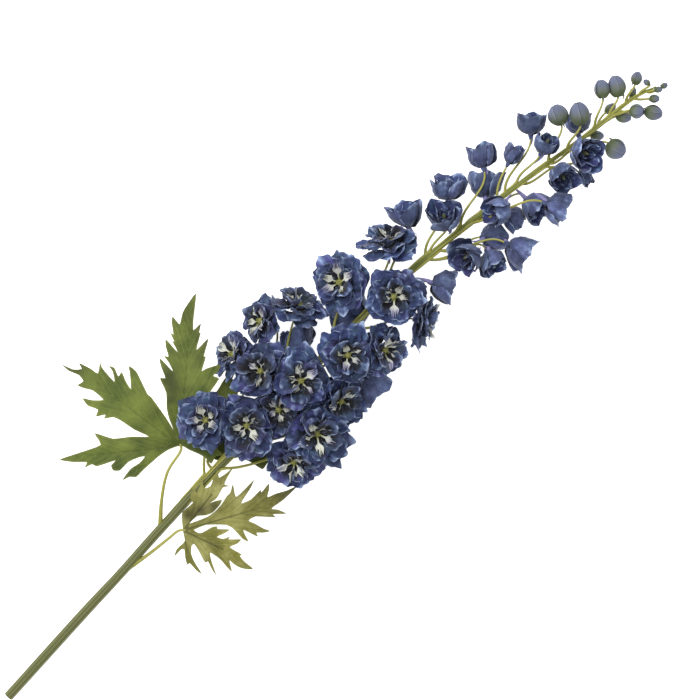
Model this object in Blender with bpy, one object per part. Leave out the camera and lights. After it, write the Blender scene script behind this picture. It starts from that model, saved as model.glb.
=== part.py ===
# Delphinium flower spike with its leaves, cut and laid on a surface.
# The layout below is in millimetres, seen from above: right and up from the cut end
# of the stem, and high above the surface. The model itself is in metres.
import math
import random

import bpy
import numpy as np
from mathutils import Vector
from mathutils.geometry import delaunay_2d_cdt

MM = 0.001
SPIKE_TURN = math.radians(43.0)  # how far the spike points up from the layout's right
SEED = 7

PETAL_THICK = 0.8
LEAF_THICK = 0.9
CLEARANCE = 0.3  # gap between pieces that touch
SURFACE_CLEARANCE = 0.9  # lowest point of a flower that doesn't carry the spike
SQUEEZE_START = 0.6  # share of the room on a side that stays unsqueezed

STEM_SIDES = 8
STALK_SIDES = 4
STALK_STEPS = 4
STALK_ROOT_RADIUS = 1.5
STALK_TIP_RADIUS = 1.0
STALK_LOWEST = 300.0  # no stalk leaves the stem lower than this along it
STALK_AHEAD = 0.5  # how much a stalk leaves along the stem, against straight out of it
STALK_START_PULL = 0.36  # how far a stalk keeps its first and last directions,
STALK_END_PULL = 0.34  # as shares of its reach
OPEN_DROP = 12.0  # how far below its own flower a stalk leaves, plus its reach
CUP_DROP = 22.0
BUD_DROP = 6.0
BUD_FOOT = 0.4  # from a bud's middle down to its stalk, as a share of its length
PETIOLE_ROOT_RADIUS = 2.2
PETIOLE_TIP_RADIUS = 1.5
SEAT_HEIGHT = 12.0  # how far up a resting piece is drawn down to the surface

# Stem centreline: right, up, high, radius
STEM = [
    (-4.8, -4.7, 5.0, 4.9),
    (70, 78, 12, 5.0),
    (110, 121, 16.5, 4.7),
    (153, 169, 21, 4.8),
    (209, 229, 28, 4.7),
    (275, 297, 34, 4.2),
    (349, 375, 38, 3.7),
    (404, 427, 40, 3.2),
    (497, 502, 42, 2.5),
    (584, 566, 43, 2.0),
    (624, 598, 43, 1.6),
    (648, 610, 43, 0.8),
]
STEM_STEPS = 2  # rings between two of those points

# Open flowers. Centre of the eye: right, up, high. Then the compass direction that the
# face turns to in this view, how far it looks up from level, and the width over the petals.
OPEN_FLOWERS = {
    "flower_01": (198, 276, 46, 150, 76, 60),
    "flower_02": (239, 272, 58, -100, 78, 62),
    "flower_03": (254, 325, 54, 165, 64, 60),
    "flower_04": (293, 316, 68, 0, 86, 62),
    "flower_05": (339, 342, 66, -50, 78, 60),
    "flower_06": (374, 347, 50, -15, 48, 58),
    "flower_07": (332, 413, 57, 150, 68, 62),
    "flower_08": (385, 400, 66, -80, 80, 60),
    "flower_09": (381, 453, 48, 95, 34, 66),
    "flower_10": (289, 389, 42, 72, 30, 60),
    "flower_11": (254, 375, 34, 165, 42, 52),
    "flower_12": (226, 341, 30, 152, 40, 50),
    "flower_13": (308, 264, 55, -55, 72, 68),
    "flower_14": (331, 296, 43, -30, 54, 58),
    "flower_15": (286, 236, 36, -104, 58, 56),
    "flower_16": (270, 287, 48, -45, 84, 54),
    "flower_17": (413, 376, 33, -12, 6, 62),
}

# Half-open flowers: middle of the cup, then direction, look up, width, and how open it is
CUPS = {
    "cup_01": (396, 483, 44, 104, 14, 36, 0.75),
    "cup_02": (435, 481, 57, 100, 42, 38, 0.6),
    "cup_03": (439, 511, 46, 92, 14, 35, 0.65),
    "cup_04": (472, 542, 50, 102, 4, 33, 0.3),
    "cup_05": (478, 515, 29, 88, -10, 38, 0.55),
    "cup_06": (528, 489, 36, -45, 20, 34, 0.5),
    "cup_07": (523, 575, 44, 88, 12, 31, 0.5),
    "cup_08": (537, 552, 54, 62, 34, 26, 0.25),
    "cup_09": (570, 576, 26, 95, -8, 28, 0.4),
    "cup_10": (554, 519, 49, -58, 40, 32, 0.6),
    "cup_11": (577, 542, 58, -20, 50, 36, 0.6),
    "cup_12": (488, 485, 60, 205, 26, 33, 0.15),
    "cup_13": (507, 477, 30, -40, -8, 28, 0.4),
    "cup_14": (549, 488, 57, -20, -10, 32, 0.5),
    "cup_15": (457, 439, 54, 215, 40, 34, 0.6),
    "cup_16": (485, 434, 44, -60, 22, 30, 0.5),
    "cup_17": (512, 444, 46, -32, 2, 36, 0.6),
    "cup_18": (487, 461, 26, 5, -30, 32, 0.5),
    "cup_19": (343, 384, 22, 140, -40, 40, 0.9),
    "cup_20": (287, 361, 20, 112, -12, 44, 0.8),
    "cup_21": (364, 308, 27, -50, -12, 36, 1.0),
    "cup_22": (437, 410, 40, -15, -5, 34, 0.7),
}

# Buds and, last, two closed flowers: middle, direction, look up, width, length
BUDS = [
    (549, 581, 52, 112, 10, 20, 20),
    (570, 582, 56, 100, 14, 20, 22),
    (593, 607, 50, 98, 10, 15, 18),
    (608, 610, 48, 100, 8, 17, 21),
    (628, 618, 47, 76, 5, 11, 13),
    (625, 605, 36, 70, -10, 7, 10),
    (603, 589, 32, 40, -10, 9, 13),
    (638, 614, 47, 150, 10, 6, 7),
    (650, 607, 44, 5, 5, 6, 8),
    (656, 611, 43, 25, 5, 6, 7),
    (646, 598, 44, 0, 5, 8, 10),
    (628, 585, 50, -10, 20, 14, 14),
    (645, 584, 44, -12, 0, 15, 18),
    (616, 580, 35, -6, -5, 11, 15),
    (608, 548, 40, -38, 5, 20, 20),
    (590, 562, 28, 0, -10, 10, 13),
    (504, 541, 45, 62, 10, 24, 26),
    (577, 521, 40, -60, 0, 15, 24),
]

# These three parts touch the surface: the stem's cut end and one low flower on each side
RESTING = ("stem", "flower_17", "cup_20")

COLOURS = {
    "stem": ((0.14, 0.19, 0.035), 0.55),
    "leaf": ((0.10, 0.17, 0.03), 0.6),
    "petal": ((0.035, 0.06, 0.20), 0.7),
    "eye": ((0.72, 0.72, 0.50), 0.7),
}

# Leaf outlines: right, up. Each starts at the petiole and runs round the lobes.
LEAF_1 = [
    (174, 249.5), (180, 246), (188.5, 242.5), (196.5, 238), (202, 232), (207, 240),
    (213.5, 242), (193, 262), (188, 276), (194, 290), (200.5, 303.5), (210, 317.5),
    (204, 320.5), (208.5, 325), (212.5, 332.5), (197.5, 328), (192.5, 325.5),
    (196.5, 339.5), (194.5, 340.5), (199, 358.5), (187, 346.5), (191, 363.5),
    (189.5, 364), (191, 373.5), (183.5, 366.5), (183.5, 379), (185.5, 404.5),
    (175.5, 390.5), (172, 383.5), (169.5, 372.5), (162.5, 380.5), (161.5, 374),
    (163.5, 362), (159.5, 365.5), (164.5, 355), (162, 356.5), (168, 344.5),
    (156, 357.5), (156, 350), (159, 340), (154.5, 340.5), (159.5, 333.5), (163.5, 325),
    (151.5, 337.5), (150, 336), (152, 328.5), (156, 318.5), (150.5, 318), (157, 303.5),
    (157.5, 288), (160, 277), (164, 266.5), (157, 278), (142.5, 298.5), (138, 302.5),
    (128, 323), (123.5, 328), (118.5, 330.5), (120, 324), (121.5, 307.5),
    (116.5, 314.5), (112, 324.5), (108.5, 320), (104.5, 328.5), (98.5, 330.5),
    (102.5, 325), (104.5, 314.5), (91.5, 329), (89.5, 335), (87.5, 323), (79.5, 328),
    (67.5, 333.5), (70.5, 327.5), (61.5, 327), (49.5, 332), (57, 325.5), (68, 321),
    (72.5, 315), (66.5, 311), (73, 308), (83, 305.5), (93.5, 296.5), (82, 296),
    (72, 298), (77.5, 290.5), (88, 286.5), (86, 279.5), (95.5, 281.5), (94.5, 277.5),
    (104, 279), (112.5, 275), (125, 266.5), (139.5, 259.5), (122, 259.5),
    (103.5, 257.5), (84.5, 263), (91, 251.5), (76, 245.5), (48, 236), (62, 233.5),
    (76.5, 233.5), (74.5, 228), (82, 231.5), (87.5, 229.5), (105.5, 235.5),
    (101.5, 230.5), (103.5, 225.5), (110.5, 225.5), (119, 234), (129, 238.5),
    (135.5, 239.5), (130, 233), (121, 227), (112.5, 215.5), (120, 219), (127, 219),
    (134.5, 226.5), (149, 239.5), (158.5, 246), (167.5, 249.5),
]
LEAF_1_RIBS = [(182, 385), (80, 318), (75, 240), (125, 225), (200, 245)]
LEAF_2 = [
    (173, 166.5), (172.5, 175.5), (173, 183.5), (183.5, 193), (181, 197.5), (182, 203),
    (185.5, 206), (187.5, 203.5), (191, 210), (192.5, 221), (195, 208), (201.5, 210),
    (204.5, 217.5), (209, 227), (210, 218.5), (217, 222.5), (224.5, 229), (218, 218),
    (215.5, 211.5), (220.5, 210), (214, 208.5), (209.5, 200.5), (206.5, 196.5),
    (201, 193), (207, 195), (213, 196), (210.5, 190.5), (204, 183.5), (197, 180.5),
    (188, 179.5), (180, 172), (189, 175), (198.5, 179), (206, 184.5), (212, 191),
    (218, 200), (221.5, 203.5), (224, 212), (227, 199), (238, 209), (245.5, 216.5),
    (241, 206.5), (232, 192.5), (242, 196.5), (251.5, 206), (252.5, 203.5),
    (260, 212.5), (260, 205.5), (258.5, 198.5), (267, 202), (278, 205), (289, 209.5),
    (274.5, 195.5), (262.5, 187), (269.5, 185.5), (278, 181.5), (264, 181),
    (266.5, 178), (247, 179), (239.5, 175), (246.5, 171.5), (254, 167), (261.5, 164),
    (254.5, 162.5), (247.5, 162.5), (248.5, 158.5), (234.5, 165.5), (236, 160.5),
    (239.5, 153.5), (233.5, 156.5), (223.5, 167.5), (217.5, 170.5), (209, 171),
    (196.5, 170.5), (184.5, 165.5), (188.5, 162.5), (192.5, 162.5), (203, 168.5),
    (208, 169), (208.5, 166.5), (220.5, 166), (215, 162), (207.5, 158.5), (214, 156.5),
    (221, 159), (219.5, 156), (232, 156), (228, 151.5), (220.5, 148), (232.5, 140.5),
    (230.5, 139), (235.5, 133), (244, 125.5), (236, 125.5), (229.5, 127.5), (224, 131),
    (220, 134.5), (222.5, 123), (217.5, 127.5), (212.5, 134), (206.5, 139),
    (200.5, 142.5), (202, 134), (207, 119), (202, 126), (198.5, 133.5), (195.5, 132.5),
    (188.5, 145.5), (184.5, 151), (182, 149), (181.5, 141.5), (184.5, 133.5),
    (192.5, 120.5), (186.5, 124.5), (180, 131.5), (177.5, 130), (175.5, 137),
    (174.5, 145.5), (171.5, 145.5), (164.5, 138.5), (167, 146), (175, 154),
    (173.5, 163),
]
LEAF_2_RIBS = [(204, 203), (253.5, 188.5), (215, 145), (178.5, 140), (168, 146)]
LEAF_3 = [
    (205, 236), (215, 234), (228, 238), (240, 234), (253, 226), (258, 232), (265, 237),
    (257, 246), (246, 252), (262, 258), (246, 264), (232, 258), (222, 262), (224, 278),
    (226, 293), (229, 306), (231, 321), (224, 316), (219, 322), (213, 315), (209, 308),
    (204, 300), (199, 282), (202, 264), (198, 254), (188, 262), (180, 258), (184, 250),
    (196, 242),
]
LEAF_3_RIBS = [(252, 236), (248, 259), (220, 308), (188, 256)]

# Each leaf: outline, ribs' ends, the height of its base, how much the blade arches up on
# the way out, how much it falls by its furthest tip, how much it rises per millimetre up
# the layout, and the path of its petiole
LEAVES = {
    "leaf_1": (LEAF_1, LEAF_1_RIBS, 27, 9, 24, 0.0,
               [(150, 168, 21), (152, 197, 25), (158, 224, 27)]),
    "leaf_2": (LEAF_2, LEAF_2_RIBS, 23, 7, 13, 0.16,
               [(115, 124, 16), (139, 141, 21), (158, 156, 23)]),
    "leaf_3": (LEAF_3, LEAF_3_RIBS, 17, 2, 7, 0.0,
               [(206, 226, 26), (201, 228, 21)]),
}


def unit(v):
    v = np.asarray(v, float)
    return v / np.linalg.norm(v)


def smoothstep(t):
    t = np.clip(t, 0.0, 1.0)
    return t * t * (3.0 - 2.0 * t)


def facing(direction, look_up):
    d, e = math.radians(direction), math.radians(look_up)
    return np.array(
        [math.cos(d) * math.cos(e), math.sin(d) * math.cos(e), math.sin(e)]
    )


def axes_across(axis):
    side = unit(np.cross((0, 0, 1.0), axis) if abs(axis[2]) < 0.99 else (1.0, 0, 0))
    return side, np.cross(axis, side)


def smooth_curve(points, steps):
    # a Catmull-Rom curve through the points, with this many steps between two of them
    p = np.asarray(points, float)
    p = np.vstack([2 * p[0] - p[1], p, 2 * p[-1] - p[-2]])
    out = []
    for i in range(1, len(p) - 2):
        for t in np.arange(steps) / steps:
            out.append(
                0.5
                * (
                    2 * p[i]
                    + (p[i + 1] - p[i - 1]) * t
                    + (2 * p[i - 1] - 5 * p[i] + 4 * p[i + 1] - p[i + 2]) * t**2
                    + (3 * p[i] - p[i - 1] - 3 * p[i + 1] + p[i + 2]) * t**3
                )
            )
    return np.array(out + [p[-2]])


def tube(path, radii, sides, end_direction=None):
    path, radii = np.asarray(path, float), np.asarray(radii, float)
    points, side = [], None
    for i, centre in enumerate(path):
        ahead = unit(path[min(i + 1, len(path) - 1)] - path[max(i - 1, 0)])
        if i == len(path) - 1 and end_direction is not None:
            ahead = unit(end_direction)
        if side is None:
            side = axes_across(ahead)[0]
        side = unit(side - ahead * (side @ ahead))
        other = np.cross(ahead, side)
        for k in range(sides):
            turn = 2 * math.pi * (k + 0.5) / sides
            points.append(
                centre + radii[i] * (math.cos(turn) * side + math.sin(turn) * other)
            )
    faces = []
    for i in range(len(path) - 1):
        for k in range(sides):
            a, b = i * sides + k, i * sides + (k + 1) % sides
            faces += [(a, b, b + sides), (a, b + sides, a + sides)]
    end = (len(path) - 1) * sides
    for k in range(1, sides - 1):
        faces.append((0, k + 1, k))
        faces.append((end, end + k, end + k + 1))
    return np.array(points), faces


def egg(middle, axis, width, length, sides=6):
    # a bud: rings that swell below the middle and close at both ends
    heights = np.array([-0.5, -0.3, 0.08, 0.4, 0.5]) * length
    radii = np.array([0.16, 0.42, 0.5, 0.26, 0.08]) * width
    return tube(middle + np.outer(heights, axis), radii, sides)


def blade(middle, faces, rim, push):
    # a closed sheet: the middle surface moved both ways by push, and a rim round it
    count = len(middle)
    points = np.vstack([middle + push, middle - push])
    solid = list(faces) + [(c + count, b + count, a + count) for a, b, c in faces]
    for a, b in zip(rim, rim[1:] + rim[:1]):
        solid += [(b, a, a + count), (b, a + count, b + count)]
    return points, solid


def petal(turn, root, length, spread, rise_start, rise_end, lean, quick=1.0):
    # a spoon round the flower's axis. Its midline leaves the hub at rise_start degrees
    # from level and ends at rise_end. The points are two at the root, three across its
    # widest part and three across the tip, and spread holds their angles from the
    # midline. It leans so that each petal lies over one neighbour and under the other.
    # Where quick is over 1 it turns up early and stays straight after that.
    def midline(t):
        steps = 8
        r, h = root
        for k in range(steps):
            share = 1 - (1 - (k + 0.5) / steps * t) ** quick
            slope = math.radians(rise_start + (rise_end - rise_start) * share)
            r += math.cos(slope) * length * t / steps
            h += math.sin(slope) * length * t / steps
        share = 1 - (1 - t) ** quick
        slope = math.radians(rise_start + (rise_end - rise_start) * share)
        return r, h, slope

    widest = midline(0.5)[0]
    root_turn, wide_turn, tip_turn = spread
    upper, lower = [], []
    for t, angles in (
        (0.0, (-root_turn, root_turn)),
        (0.5, (-wide_turn, 0.0, wide_turn)),
        (0.9, (-tip_turn, 0.0, tip_turn)),
    ):
        for angle in angles:
            r, h, slope = midline(1.0 if (t > 0.8 and angle == 0) else t)
            at = turn + math.radians(angle)
            radial = np.array([math.cos(at), math.sin(at), 0])
            normal = -math.sin(slope) * radial + math.cos(slope) * np.array([0, 0, 1.0])
            middle = r * radial + normal * lean * angle / wide_turn * widest
            middle[2] += h
            upper.append(middle + normal * PETAL_THICK / 2)
            lower.append(middle - normal * PETAL_THICK / 2)
    return upper, lower


PETAL_FACES = [
    (3, 1, 0), (2, 3, 0), (3, 4, 1), (5, 3, 2), (5, 6, 3), (7, 4, 3), (6, 7, 3),
]
PETAL_RIM = [0, 2, 5, 6, 7, 4, 1]
SPREAD_ROOT = 30


def rosette(depth, layers, horn):
    # one closed surface: a hub with layers of five petals grown out of its side, and a
    # horn on its lower side. Each layer holds its first turn, its root and its petals.
    points, faces = [], []

    def add(new):
        points.extend(new)
        return list(range(len(points) - len(new), len(points)))

    def strip(below, above):
        count = len(below)
        for k in range(count):
            a, b = below[k], below[(k + 1) % count]
            c, d = above[(k + 1) % count], above[k]
            faces.extend([(a, b, c), (a, c, d)])

    first = layers[0][0]
    ring = []
    for k in range(5):
        at = first + 2 * math.pi * (k - 0.5) / 5
        ring.append((1.5 * math.cos(at), 1.5 * math.sin(at), -depth))
    ring = add(ring)
    faces.extend([(ring[0], ring[k + 1], ring[k]) for k in range(1, 4)])
    for number, (_, petals) in enumerate(layers):
        low, high = [], []
        for upper, lower in petals:
            top, bottom = add(upper), add(lower)
            low += bottom[:2]
            high += top[:2]
            faces.extend([tuple(top[k] for k in f) for f in PETAL_FACES])
            faces.extend([tuple(bottom[k] for k in reversed(f)) for f in PETAL_FACES])
            for m, n in zip(PETAL_RIM, PETAL_RIM[1:]):
                faces.extend([(top[n], top[m], bottom[m]), (top[n], bottom[m], bottom[n])])
        for k in range(5):
            a, b = 2 * k + 1, (2 * k + 2) % 10
            faces.extend([(low[a], low[b], high[b]), (low[a], high[b], high[a])])
        if number == 0:
            for k in range(5):
                a, b = ring[k], ring[(k + 1) % 5]
                left, right, after = low[2 * k], low[2 * k + 1], low[(2 * k + 2) % 10]
                faces.append((b, after, right))
                if k == 0:
                    end = (a, b, right, left)
                    for across in horn:
                        new = add(across)
                        strip(end, new)
                        end = new
                    faces.extend([(end[0], end[1], end[2]), (end[0], end[2], end[3])])
                else:
                    faces.extend([(a, b, right), (a, right, left)])
        else:
            # this layer's petals stand between the petals below
            strip(ring, low[-1:] + low[:-1])
        ring = high
    highest = max(points[k][2] for k in ring)
    top = add([(0.0, 0.0, highest)])[0]
    faces.extend([(top, ring[k], ring[(k + 1) % 10]) for k in range(10)])
    return np.array(points, float), faces


def horn(turn, reach, depth):
    # the spur: two quads that the hub's side is drawn out to
    c, s = math.cos(turn), math.sin(turn)
    quads = []
    for out, high, half in (
        (0.5 * reach, -0.8 * depth, 1.2),
        (0.7 * reach, -0.9 * depth - 0.55 * reach, 0.4),
    ):
        quads.append(
            [
                (out * c - side * half * s, out * s + side * half * c, high + raised)
                for side, raised in ((-1, -half), (1, -half), (1, half), (-1, half))
            ]
        )
    return quads


HUB_DEPTH = 9.0
CUP_DEPTH = 6.0
OPEN_SPUR = 15.0
CUP_SPUR = 11.0
CLOSED_SLOPE = 112  # that a closed cup's petals end at, in degrees from level
CUP_OPENING = 36  # how far a fully open cup's petals lean out again
ARM_THICK = 1.1  # of the pale centre's arms
ARM_SWING = 0.27  # half of the angle between an arm's two tips
TURN_SPREAD = 0.02  # how much petals differ in turn, as a share of their spacing
SLOPE_SPREAD = 3  # and in the slope that they end at, in degrees

# An open flower's broad sepals and, inside them, its smaller and more upright petals:
# the root (out, up), the length (a share of half the width, and what is added to it),
# the half angles at its widest and at its tip, the slope at both ends, and the lean
OPEN_LAYERS = (
    ((4.6, -2.4), (1.02, -3.4), 52, 29, 24, -8, 0.18),
    ((3.9, 0.2), (0.78, -2.6), 50, 30, 50, 16, 0.19),
)


def open_flower(width, rng):
    size = width / 2
    first = rng.uniform(0, 2 * math.pi)
    layers = []
    for number, (root, (share, more), wide, tip, start, end, lean) in enumerate(OPEN_LAYERS):
        petals = []
        for k in range(5):
            place = k + 0.5 * number + rng.uniform(-TURN_SPREAD, TURN_SPREAD)
            slope = end + rng.uniform(-SLOPE_SPREAD, SLOPE_SPREAD)
            petals.append(
                petal(first + 2 * math.pi * place / 5, root, share * size + more,
                      (SPREAD_ROOT, wide, tip), start, slope, lean)
            )
        layers.append((first, petals))
    return rosette(HUB_DEPTH, layers, horn(first, OPEN_SPUR, HUB_DEPTH))


def eye_part(width, floor, rng):
    # the pale centre: five forked petals that stand round a small knob, as one star. They
    # lie just over the inner petals, which rise as steeply as they do.
    reach = 0.2 * width + 1.5
    tip_height = 0.76 * reach + 3.4
    first = rng.uniform(0, 2 * math.pi)
    top, bottom = [(0, 0, 5.6)], [(0, 0, floor + CLEARANCE)]
    for k in range(5):
        turn = first + 2 * math.pi * k / 5
        for swing, out, high in (
            (-0.62, 2.0, 4.4),
            (-ARM_SWING, reach, tip_height),
            (0.0, 0.8 * reach, 0.86 * tip_height),
            (ARM_SWING, reach, tip_height),
        ):
            c, s = math.cos(turn + swing), math.sin(turn + swing)
            top.append((out * c, out * s, high))
            bottom.append((out * c, out * s, high - ARM_THICK))
    count = len(top)
    faces = []
    for k in range(1, count):
        after = k % (count - 1) + 1
        faces.append((0, k, after))
        faces.append((count, count + after, count + k))
        faces += [(k, count + k, count + after), (k, count + after, after)]
    return np.array(top + bottom, float), faces


def cup(width, openness, rng):
    # five petals that curve up and in round an empty cup, their tips out as it opens
    first = rng.uniform(0, 2 * math.pi)
    end = CLOSED_SLOPE - CUP_OPENING * openness
    petals = []
    for k in range(5):
        place = k + rng.uniform(-TURN_SPREAD, TURN_SPREAD)
        slope = end + rng.uniform(-SLOPE_SPREAD, SLOPE_SPREAD)
        petals.append(
            petal(first + 2 * math.pi * place / 5, (3.0, 0.0), 0.84 * width - 1.0,
                  (SPREAD_ROOT, 50, 34), 10, slope, 0.2, 1.5)
        )
    return rosette(CUP_DEPTH, [(first, petals)], horn(first, CUP_SPUR, CUP_DEPTH))


def closed_volume(points, faces):
    p = np.asarray(points)[np.asarray(faces)]
    return float(np.einsum("ij,ij->", p[:, 0], np.cross(p[:, 1], p[:, 2]))) / 6


def mesh_of(name, points, faces):
    if closed_volume(points, faces) < 0:
        faces = [(c, b, a) for a, b, c in faces]
    mesh = bpy.data.meshes.new(name)
    mesh.from_pydata([tuple(p) for p in np.asarray(points, float)], [], faces)
    return mesh


def fused(name, parts):
    # one body of several closed shapes that overlap
    scene = bpy.context.scene.collection
    base = bpy.data.objects.new(name, mesh_of(name, *parts[0]))
    scene.objects.link(base)
    group = bpy.data.collections.new(name + "_group")
    scene.children.link(group)
    for k, part in enumerate(parts[1:]):
        group.objects.link(bpy.data.objects.new(f"{name}_{k}", mesh_of(name, *part)))
    join = base.modifiers.new("join", "BOOLEAN")
    join.operation = "UNION"
    join.operand_type = "COLLECTION"
    join.collection = group
    join.solver = "MANIFOLD"
    graph = bpy.context.evaluated_depsgraph_get()
    mesh = bpy.data.meshes.new_from_object(base.evaluated_get(graph))
    for obj in [base, *group.objects]:
        bpy.data.objects.remove(obj)
    bpy.data.collections.remove(group)
    return mesh


def mesh_points(mesh):
    points = np.empty(len(mesh.vertices) * 3, np.float32)
    mesh.vertices.foreach_get("co", points)
    return points.reshape(-1, 3).astype(float)


def set_points(mesh, points):
    mesh.vertices.foreach_set("co", np.asarray(points, np.float32).ravel())
    mesh.update()


class Head:
    # a flower's place: its middle, its axis, how far it reaches and who presses on it
    def __init__(self, floor, axis, middle_up, reach):
        self.floor = np.asarray(floor, float)
        self.axis = axis
        self.side, self.other = axes_across(axis)
        self.middle = self.floor + axis * middle_up
        self.reach = reach
        self.walls = []

    def placed(self, points):
        p = np.asarray(points, float)
        basis = np.array([self.side, self.other, self.axis])
        return self.squeezed(self.floor + p @ basis)

    def squeezed(self, points):
        # each wall leaves what is well inside alone and draws the rest in behind it
        p = np.atleast_2d(np.asarray(points, float)).copy()
        for normal, room in self.walls:
            out = (p - self.middle) @ normal
            start = SQUEEZE_START * room
            span = room - start
            over = np.maximum(out - start, 0.0)
            kept = over / (1 + (over / span) ** 4) ** 0.25
            p -= np.outer(over - kept, normal)
        return p


def head_of_open(values):
    right, up, high, direction, look_up, width = values
    return Head((right, up, high), facing(direction, look_up), 3.0, width / 2 + 3.0)


def head_of_cup(values):
    right, up, high, direction, look_up, width, _ = values
    axis = facing(direction, look_up)
    half_height = 0.37 * width
    floor = np.array([right, up, high]) - axis * half_height
    return Head(floor, axis, half_height, 0.6 * width)


def raise_walls(heads, stem_path, stem_radii):
    # neighbours share the room between them, and stem and surface take theirs
    names = list(heads)
    for a in names:
        for b in names:
            gap = heads[b].middle - heads[a].middle
            apart = np.linalg.norm(gap)
            reach = heads[a].reach + heads[b].reach
            if a != b and apart < reach:
                room = apart * heads[a].reach / reach - CLEARANCE
                heads[a].walls.append((gap / apart, room))
        head = heads[a]
        nearest = int(np.argmin(np.linalg.norm(stem_path - head.middle, axis=1)))
        gap = stem_path[nearest] - head.middle
        room = np.linalg.norm(gap) - stem_radii[nearest] - 2 * CLEARANCE
        head.walls.append((unit(gap), room))
        low = head.middle[2] - SURFACE_CLEARANCE
        if head.reach > low:
            head.walls.append((np.array([0, 0, -1.0]), low))


def seated(points):
    # draws the lowest part of a shape down until it just meets the surface
    lowest = points[:, 2].min()
    share = 1 - smoothstep((points[:, 2] - lowest) / SEAT_HEIGHT)
    points[:, 2] -= lowest * share
    return points


def stalk_path(stem_path, base, axis, at):
    # out of the stem, then up beside it to just short of what the stalk carries
    start = stem_path[at]
    ahead = unit(stem_path[min(at + 1, len(stem_path) - 1)] - start)
    reach = np.linalg.norm(base - start)
    outward = unit(base - start - ahead * ((base - start) @ ahead))
    first = start + unit(STALK_AHEAD * ahead + outward) * STALK_START_PULL * reach
    second = base - axis * STALK_END_PULL * reach
    path = []
    for t in np.linspace(0, 1, STALK_STEPS + 1):
        path.append(
            (1 - t) ** 3 * start
            + 3 * (1 - t) ** 2 * t * first
            + 3 * (1 - t) * t**2 * second
            + t**3 * base
        )
    return np.array(path)


def keep_off_stalks(heads, stalks):
    # a flower also gives way where another flower's stalk or a bud's runs past it
    for name, head in heads.items():
        for owner, (path, _, _) in stalks.items():
            fine = smooth_curve(path, 6)
            away = np.linalg.norm(fine - head.middle, axis=1)
            nearest = int(np.argmin(away))
            if owner != name and away[nearest] < head.reach:
                room = away[nearest] - STALK_ROOT_RADIUS - 2 * CLEARANCE
                head.walls.append((unit(fine[nearest] - head.middle), room))


def foot(head, depth):
    # where a stalk ends: square to the flower's lower end and just clear of it
    a, b, c = head.placed([(0, 0, -depth), (1, 0, -depth), (0, 1, -depth)])
    normal = unit(np.cross(b - a, c - a))
    return a - normal * CLEARANCE, normal


def attach_index(stem_path, lengths, point, drop):
    # where on the stem a stalk starts: level with what it carries, less a drop
    nearest = int(np.argmin(np.linalg.norm(stem_path - point, axis=1)))
    distance = np.linalg.norm(stem_path[nearest] - point)
    wanted = max(lengths[nearest] - distance - drop, STALK_LOWEST)
    return int(np.argmin(np.abs(lengths - wanted)))


def stalks_for(heads, buds, stem_path, lengths):
    # every stalk's path, the direction that it ends in and its number of sides
    stalks = {}
    for name, head in heads.items():
        is_open = name in OPEN_FLOWERS
        base, upward = foot(head, HUB_DEPTH if is_open else CUP_DEPTH)
        at = attach_index(stem_path, lengths, base, OPEN_DROP if is_open else CUP_DROP)
        stalks[name] = (stalk_path(stem_path, base, upward, at), upward, STALK_SIDES)
    for number, (middle, axis, _, length) in enumerate(buds):
        base = middle - axis * BUD_FOOT * length
        at = attach_index(stem_path, lengths, base, BUD_DROP)
        stalks[f"bud_{number}"] = (stalk_path(stem_path, base, axis, at), axis, 3)
    return stalks


def inside_outline(point, outline):
    x, y = point
    inside = False
    for (ax, ay), (bx, by) in zip(outline, outline[1:] + outline[:1]):
        if (ay > y) != (by > y) and x < (bx - ax) * (y - ay) / (by - ay) + ax:
            inside = not inside
    return inside


def leaf_base(outline):
    # the middle of the short edge that the petiole meets, and the way out of the leaf
    first, last = np.array(outline[0], float), np.array(outline[-1], float)
    along = unit(first - last)
    out = np.array([along[1], -along[0]])
    if inside_outline((first + last) / 2 + out, outline):
        out = -out
    return (first + last) / 2, out


def leaf_height(point, joint, outline, ribs, base_height, arch, fall, tilt):
    furthest = max(math.dist(p, joint) for p in outline)
    out = min(math.dist(point, joint) / furthest, 1.0)
    x, y = point[0] - joint[0], point[1] - joint[1]
    rib_distance = min(
        abs(x * (r[1] - joint[1]) - y * (r[0] - joint[0])) / math.dist(r, joint)
        for r in ribs
    )
    fold = min(rib_distance, 10.0) * 0.12 * smoothstep(4 * out)
    high = base_height + arch * math.sin(math.pi * out) - fall * out**2 + fold
    return high + tilt * y


def leaf_parts(outline, ribs, base_height, arch, fall, tilt):
    # the outline filled with triangles that also pass through points along the ribs
    joint = leaf_base(outline)[0]
    inner = []
    for rib in ribs:
        for share in (0.12, 0.4, 0.7):
            point = tuple(joint + (np.array(rib, float) - joint) * share)
            if inside_outline(point, outline):
                inner.append(point)
    flat = [Vector(p) for p in outline + inner]
    edges = [(k, (k + 1) % len(outline)) for k in range(len(outline))]
    verts, _, faces, _, _, _ = delaunay_2d_cdt(flat, edges, [], 1, 1e-4)
    shape = (joint, outline, ribs, base_height, arch, fall, tilt)
    middle = [(v[0], v[1], leaf_height(v, *shape)) for v in verts]
    rim = rim_of(faces)
    push = np.array([0, 0, LEAF_THICK / 2])
    return blade(np.array(middle), [tuple(f) for f in faces], rim, push)


def rim_of(faces):
    # the edges that only one triangle has, in order
    seen = {(f[k], f[(k + 1) % 3]) for f in faces for k in range(3)}
    ahead = {a: b for a, b in seen if (b, a) not in seen}
    start = next(iter(ahead))
    rim, at = [start], ahead[start]
    while at != start:
        rim.append(at)
        at = ahead[at]
    return rim


def material(name):
    colour, roughness = COLOURS[name]
    made = bpy.data.materials.new(name)
    made.use_nodes = True
    shader = made.node_tree.nodes["Principled BSDF"]
    shader.inputs["Base Color"].default_value = (*colour, 1.0)
    shader.inputs["Roughness"].default_value = roughness
    shader.inputs["Metallic"].default_value = 0.0
    return made


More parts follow.
